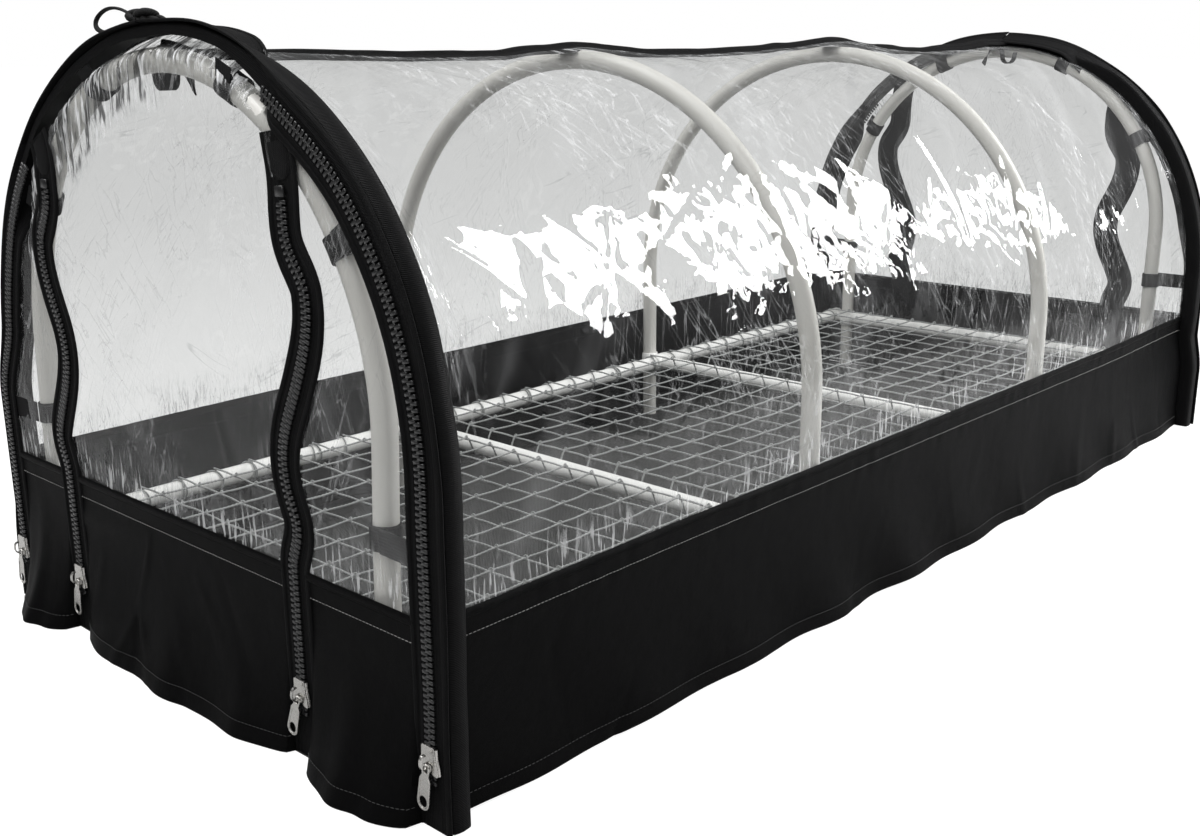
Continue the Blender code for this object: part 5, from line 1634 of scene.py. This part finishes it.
def build_straps(end):
    """Flat straps sewn to the outer zips that hold the end hoop."""
    hoop = "hoop_%s_end" % end.name
    x, half = leg_place(hoop)
    x = abs(x)
    half = abs(half)
    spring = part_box(hoop)[1].z - TUBE_RADIUS - half
    shape = Shape()
    turn = np.arange(30) * 2.0 * math.pi / 30
    w = STRAP_WIDTH / 2.0
    t = STRAP_THICKNESS
    ring_profile = [(-w, 0.0), (-w + 0.0005, t), (-w + 0.002, t * 1.1), (0.0, t), (w - 0.002, t * 1.1),
                    (w - 0.0005, t), (w, 0.0)]
    for side in (1.0, -1.0):
        places = [(half, STRAP_LEG_Z, 0.0)]
        for angle in STRAP_ANGLES:
            a = math.radians(angle)
            places.append((half * math.cos(a), spring + half * math.sin(a), a))
        for y, z, angle in places:
            radial = np.array((0.0, math.cos(angle), math.sin(angle)))
            along = np.array((0.0, -math.sin(angle), math.cos(angle)))
            mirror = np.array((1.0, side, 1.0))
            middle = hoop_bend(hoop, np.array((-x, y, z)) * mirror) * mirror
            out = np.cos(turn)[:, None] * radial + np.sin(turn)[:, None] * np.array((-1.0, 0.0, 0.0))
            bulge = TUBE_RADIUS + 0.0002 + 0.0005 * (1.0 + np.cos(3.0 * turn + angle))
            path = middle + out * bulge[:, None]
            sweep(shape, end.put(path * mirror), end.put(along * mirror), end.put(out * mirror),
                  ring_profile, ring=True)
            reach = np.linspace(0.0, 1.0, 10)
            above = math.atan2(max(0.0, z - SPRING_Z), y)
            edge = ARCH_RADIUS - TAPE_WIDTH + 0.009 + float(zip_slack(end, side, above, z))
            far = max(edge - math.hypot(y, max(0.0, z - SPRING_Z)), 0.014)
            tail = middle + radial * (0.006 + (far - 0.006) * reach)[:, None]
            tail[:, 0] = -x - TUBE_RADIUS - 0.0008 + reach * (x + TUBE_RADIUS + 0.0008 - TAPE_BACK_X + 0.001)
            side_dir = np.broadcast_to(along, tail.shape)
            up = np.broadcast_to((-1.0, 0.0, 0.0), tail.shape)
            flat = [(-w, 0.0), (-w, 0.0009), (w, 0.0009), (w, 0.0)]
            sweep(shape, end.put(tail * mirror), end.put(side_dir * mirror), end.put(up), flat)
    shape.build("hoop_straps_" + end.name, STRAP, "frame", ())


TIE_STRAP_RISE = 0.004    # the straps' lower ends lie this much higher than in the solids


def build_tie_strap(end):
    """The roll-up strap under the ridge, with a hooked end and a hanging end."""
    node = "tie_strap_" + end.name
    low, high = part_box(node)
    y_low = low.y if end.sign > 0 else -high.y
    y_high = high.y if end.sign > 0 else -low.y
    middle = (low.x + high.x) / 2.0 * end.sign
    top = high.z - 0.0008
    bottom = low.z + TIE_STRAP_RISE
    points = [(y_low - 0.005, bottom - 0.001), (y_low + 0.001, bottom + 0.012), (y_low + 0.008, top - 0.005),
              (y_low + 0.016, top), (y_high - 0.030, top), (y_high - 0.021, top - 0.010),
              (y_high - 0.0200, bottom + 0.012)]
    for k in range(1, 8):
        angle = math.pi * (1.0 + k / 7.0)
        points.append((y_high - 0.010 + 0.0100 * math.cos(angle), bottom + 0.011 + 0.0105 * math.sin(angle)))
    points.append((y_high + 0.001, bottom + 0.017))
    path2 = resample(np.array(points, float), 0.002)
    path = np.stack([np.full(len(path2), middle), path2[:, 0], path2[:, 1]], 1)
    along = tangents(path)
    across = np.broadcast_to((1.0, 0.0, 0.0), path.shape)
    up = np.cross(along, across)
    twist = (0.9 * np.exp(-(distances(path) / 0.018) ** 2))[:, None]
    across, up = (across * np.cos(twist) + up * np.sin(twist), up * np.cos(twist) - across * np.sin(twist))
    w = (high.x - low.x) / 2.0 - 0.0004
    profile = [(-w, -0.0006), (-w, 0.0006), (w, 0.0006), (w, -0.0006)]
    shape = Shape()
    sweep(shape, end.put(path), end.put(across), end.put(up), profile)
    shape.build(node + "_band", STRAP, "frame", [node])


KNOT_Y = 0.012            # place of the tie cord's knot across the apex
TIE_RADIUS = 0.0014       # of the cord in the solids


def build_tie_loop():
    """The loop of flat tie cord at the front apex, with its knot."""
    low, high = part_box("tie_loop_front")
    x = (low.x + high.x) / 2.0
    middle_y = (low.y + high.y) / 2.0
    middle_z = (low.z + high.z) / 2.0
    half_y = (high.y - low.y) / 2.0 - TIE_RADIUS
    half_z = (high.z - low.z) / 2.0 - TIE_RADIUS
    lean = math.atan2(middle_y, ARCH_RADIUS)
    turn = np.arange(48) * 2.0 * math.pi / 48
    across = half_y * 1.08 * np.cos(turn)
    up = half_z * 1.15 * np.sin(turn) * (1.0 + 0.12 * np.cos(turn)) + 0.12 * across
    path = np.stack([x + 0.002 * np.sin(2.0 * turn), middle_y + across * math.cos(lean) + up * math.sin(lean),
                     middle_z - across * math.sin(lean) + up * math.cos(lean)], 1)
    shape = Shape()
    cord(shape, path, 0.0021, 8, True, 0.6)
    shape.build("tie_loop_cord", CORD, "frame", ["tie_loop_front"])
    knot = Shape()
    turn = np.arange(90) * 2.0 * math.pi / 90
    centre = np.array((x + 0.001, KNOT_Y, SPRING_Z + ARCH_RADIUS + 0.0065))
    for scale, shift, radius in ((1.40, 0.0, 0.0030), (1.02, 0.9, 0.0028), (0.80, 2.1, 0.0026)):
        path = np.stack([-0.0021 * np.sin(3.0 * turn + shift) * 1.2,
                         0.0050 * (np.sin(turn + shift) + 1.7 * np.sin(2.0 * turn)),
                         0.0017 * (np.cos(turn + shift) - 1.7 * np.cos(2.0 * turn))], 1)
        cord(knot, centre + scale * path, radius, 8, True)
    tails = ((0.004, -0.030, -0.0040), (-0.004, -0.038, -0.0075))
    for k, (dx, dy, dz) in enumerate(tails):
        share = np.linspace(0.0, 1.0, 12)[:, None]
        path = centre + share * np.array((dx, dy, dz))
        path[:, 2] += 0.0035 * np.sin(math.pi * share[:, 0]) + 0.0008 * np.sin(9.0 * share[:, 0] + k)
        cord(knot, path, 0.0018, 8)
    knot.build("tie_loop_knot", CORD, "frame", ())


# Sliders and pulls


def end_curve(name, loops, thickness, bevel):
    """A flat outline (y, z) with holes as a bevelled mesh, its middle plane at x 0."""
    data = bpy.data.curves.new(name, "CURVE")
    data.dimensions = "2D"
    data.fill_mode = "BOTH"
    data.extrude = thickness / 2.0 - bevel
    data.bevel_depth = bevel
    data.bevel_resolution = 1
    data.offset = -bevel
    for loop in loops:
        spline = data.splines.new("POLY")
        spline.points.add(len(loop) - 1)
        for point, place in zip(spline.points, loop):
            point.co = (place[0], place[1], 0.0, 1.0)
        spline.use_cyclic_u = True
    obj = bpy.data.objects.new(name, data)
    bpy.context.scene.collection.objects.link(obj)
    bpy.context.view_layer.update()
    mesh = bpy.data.meshes.new_from_object(obj.evaluated_get(bpy.context.evaluated_depsgraph_get()))
    points = np.zeros(len(mesh.vertices) * 3)
    mesh.vertices.foreach_get("co", points)
    points = points.reshape(-1, 3)
    faces = {}
    for polygon in mesh.polygons:
        faces.setdefault(len(polygon.vertices), []).append(list(polygon.vertices))
    bpy.data.objects.remove(obj)
    bpy.data.curves.remove(data)
    bpy.data.meshes.remove(mesh)
    turned_points = np.stack([-points[:, 2], points[:, 0], points[:, 1]], 1)
    return turned_points, [np.array(group) for group in faces.values()]


def round_end(half, low, count):
    """Points of a half round lower end."""
    turn = np.linspace(math.pi, 2.0 * math.pi, count)
    return np.stack([half * np.cos(turn), low + half + half * np.sin(turn)], 1)


def slot_outline(half, low, high):
    """An upright slot with round ends."""
    turn = np.linspace(0.0, math.pi, 9)
    top = np.stack([half * np.cos(turn), high - half + half * np.sin(turn)], 1)
    bottom = np.stack([-half * np.cos(turn), low + half - half * np.sin(turn)], 1)
    return np.concatenate([top, bottom])


def build_slider(end, side, kind):
    """A nickel slider: a shield-shaped plate with side walls and a crown."""
    name = kind + "_" + end.side_name(side)
    low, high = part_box("slider_" + name)
    y = (low.y + high.y) / 2.0 * end.sign
    half = 0.0115
    z = (low.z + high.z) / 2.0
    front = max(abs(low.x), abs(high.x))
    plate_x = HALF_LENGTH + 0.0032
    outline = [(0.0062, half), (-0.0062, half), (-0.0074, half - 0.0014), (-0.0078, 0.002),
               (-0.0098, -0.0045), (-0.0104, -half + 0.0014), (-0.0092, -half), (-0.0060, -half + 0.0003),
               (0.0, -half + 0.0034), (0.0060, -half + 0.0003), (0.0092, -half), (0.0104, -half + 0.0014),
               (0.0098, -0.0045), (0.0078, 0.002), (0.0074, half - 0.0014)]
    shape = Shape()
    points, faces = end_curve("slider", [outline], 0.0018, 0.0004)
    shape.add(end.put(points + (-plate_x, y, z)), faces)
    for wall in (1.0, -1.0):
        line = resample(np.array([(0.0073, half - 0.0012), (0.0074, 0.0030), (0.0094, -0.0045),
                                  (0.0099, -half + 0.0012)]), 0.0012)
        path = np.stack([np.full(len(line), -plate_x + 0.0012), y + wall * line[:, 0], z + line[:, 1]], 1)
        tube(shape, end.put(path), 0.00135, 8, (1.0, 0.0, 0.0))
    crown_turn = np.linspace(-0.62 * math.pi, 0.62 * math.pi, 17)
    reach = front - plate_x - 0.0011
    path = np.stack([-plate_x - 0.0004 - reach * (0.35 + 0.65 * np.cos(crown_turn / 1.24)) ** 0.8,
                     np.full(17, y), z + 0.0056 * np.sin(crown_turn)], 1)
    along = tangents(path)
    across = np.broadcast_to((0.0, 1.0, 0.0), path.shape)
    profile = [(-0.0015, -0.0005), (-0.0011, 0.0006), (0.0011, 0.0006), (0.0015, -0.0005), (0.0, -0.0009)]
    sweep(shape, end.put(path), end.put(across), end.put(np.cross(along, across)), profile)
    shape.build("slider_%s_body" % name, NICKEL, "slider_" + name, ["slider_" + name], 40.0)


# Degrees by which the pulls hang askew
PULL_TILT = {"inner_front_right": 18.0, "outer_front_right": 9.0, "inner_front_left": 10.0,
             "outer_front_left": 7.0, "inner_rear_left": 7.0, "outer_rear_right": -5.0}


def build_pull(end, side, kind):
    """A nickel pull: a ring eye, a neck, a raised border and a finger hole."""
    name = kind + "_" + end.side_name(side)
    low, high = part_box("pull_" + name)
    y = (low.y + high.y) / 2.0 * end.sign
    x = (abs(low.x) + abs(high.x)) / 2.0
    top = high.z
    length = high.z - low.z
    wide = 0.00675
    outline = np.concatenate([[(0.0022, 0.0), (-0.0022, 0.0), (-0.0040, -0.0016), (-0.0044, -0.0050),
                               (-0.0036, -0.0092), (-0.0058, -0.0135)], round_end(wide, -length, 17),
                              [(0.0058, -0.0135), (0.0036, -0.0092), (0.0044, -0.0050), (0.0040, -0.0016)]])
    eye = slot_outline(0.0026, -0.0074, -0.0017)
    panel_half = wide - 0.0017
    panel_low = -length + 0.0017
    panel = np.concatenate([[(0.0038, -0.0150), (-0.0038, -0.0150)], round_end(panel_half, panel_low, 13)])
    hole = slot_outline(panel_half - 0.0008, panel_low + 0.0009, panel_low + 0.0100)
    shape = Shape()
    tilt = math.radians(PULL_TILT.get(name, 0.0))
    for loops, thickness, bevel in (([outline, eye, panel], 0.0017, 0.0004),
                                    ([panel * (1.04, 1.0), hole], 0.0009, 0.0002)):
        points, faces = end_curve("pull", loops, thickness, bevel)
        turned_y = points[:, 1] * math.cos(tilt) - points[:, 2] * math.sin(tilt)
        turned_z = points[:, 1] * math.sin(tilt) + points[:, 2] * math.cos(tilt)
        points = np.stack([points[:, 0], turned_y, turned_z], 1)
        shape.add(end.put(points + (-x, y, top)), faces)
    shape.build("pull_%s_plate" % name, NICKEL, "pull_" + name, ["pull_" + name], 40.0)


# Stage


SOFTBOXES = {   # place, target, width, height, power
    "key_softbox": ((-2.2, -1.2, 2.4), (-0.3, 0.0, 0.2), 1.4, 1.4, 30.0),
    "film_softbox": ((1.014, -0.953, 1.076), (-0.33, -0.28, 0.38), 0.50, 0.86, 31.0, (-0.11, 0.428, 0.6275)),
    "streak_softbox": ((1.31, -0.79, 0.70), (0.15, -0.30, 0.37), 0.12, 0.50, 4.0),
    "top_softbox": ((-0.9, 0.5, 2.5), (0.0, 0.0, 0.1), 1.5, 2.2, 66.0)}


def softbox(name, place, target, width, height, power, up=(0.0, 0.0, 1.0)):
    """A rectangular soft lamp that points at a target, its height along an upward direction."""
    data = bpy.data.lights.new(name, "AREA")
    data.shape = "RECTANGLE"
    data.size = width
    data.size_y = height
    data.energy = power
    lamp = bpy.data.objects.new(name, data)
    bpy.context.scene.collection.objects.link(lamp)
    back = (Vector(place) - Vector(target)).normalized()
    right = Vector(up).cross(back).normalized()
    turn = Matrix((right, back.cross(right), back)).transposed()
    lamp.matrix_world = Matrix.Translation(place) @ turn.to_4x4()
    lamp.visible_camera = False


def build_floor():
    """A wide round floor that looks white to the camera and grey to other rays."""
    s = surface("pale_floor")
    seen = s.seen()
    shade = s.blend(seen, (0.56, 0.56, 0.56), (0.24, 0.24, 0.24))
    diffuse = s.out("ShaderNodeBsdfDiffuse", 0, {"Color": shade})
    glow = s.out("ShaderNodeEmission", 0, {"Color": (1.0, 1.0, 1.0, 1.0), "Strength": seen * 0.90})
    material = s.finish(s.out("ShaderNodeAddShader", 0, {0: diffuse, 1: glow}))
    shape = Shape()
    turn = np.arange(64) * 2.0 * math.pi / 64
    rim = np.stack([40.0 * np.cos(turn), 40.0 * np.sin(turn), np.full(64, -0.0002)], 1)
    shape.add(rim, [np.arange(64)[None]], closed=False)
    shape.build("floor", material, None, angle=0.0)


def build_world():
    """A white sky, which lights the scene from pale above to dark at the horizon."""
    world = bpy.data.worlds.new("studio")
    bpy.context.scene.world = world
    w = Nodes(world)
    height = w.out("ShaderNodeSeparateXYZ", 2, {0: w.out("ShaderNodeTexCoord", "Generated")})
    sky = w.out("ShaderNodeMapRange", 0, {"Value": height, "To Min": 0.06, "To Max": 0.62})
    strength = w.out("ShaderNodeMapRange", 0, {"Value": w.seen(), "To Min": sky, "To Max": 1.0})
    background = w.tree.nodes["Background"]
    w.connect(strength, background.inputs["Strength"])
    w.connect((1.0, 1.0, 1.0, 1.0), background.inputs["Color"])


def build_stage():
    """Floor, world, soft light and the camera."""
    build_floor()
    build_world()
    for name, settings in SOFTBOXES.items():
        softbox(name, *settings)
    bpy.context.scene.view_settings.view_transform = "Standard"
    data = bpy.data.cameras.new("camera")
    data.lens = CAMERA_LENS
    camera = bpy.data.objects.new("camera", data)
    bpy.context.scene.collection.objects.link(camera)
    turn = (Matrix.Rotation(math.radians(CAMERA_YAW), 4, "Z")
            @ Matrix.Rotation(math.radians(CAMERA_PITCH), 4, "X")
            @ Matrix.Rotation(math.radians(CAMERA_ROLL), 4, "Z"))
    camera.matrix_world = Matrix.Translation(CAMERA_PLACE) @ turn
    bpy.context.scene.camera = camera


# Everything

build_stage()
for hoop in ("hoop_front_end", "hoop_front_mid", "hoop_rear_mid", "hoop_rear_end"):
    build_hoop(hoop)
    build_crossbar(hoop.replace("hoop", "crossbar"), hoop, "mid" in hoop)
build_rail("rail_left")
build_rail("rail_right")
build_net()
build_ground()
for side in (1.0, -1.0):
    build_side_film(side)
    build_side_skirt(side)
build_ridge()
for end in ENDS:
    build_arch_binding(end)
    build_end_films(end)
    build_end_skirts(end)
    build_straps(end)
    build_tie_strap(end)
    for side in (1.0, -1.0):
        build_outer_zip(end, side)
        build_inner_zip(end, side)
        for kind in ("outer", "inner"):
            build_slider(end, side, kind)
            build_pull(end, side, kind)
build_tie_loop()
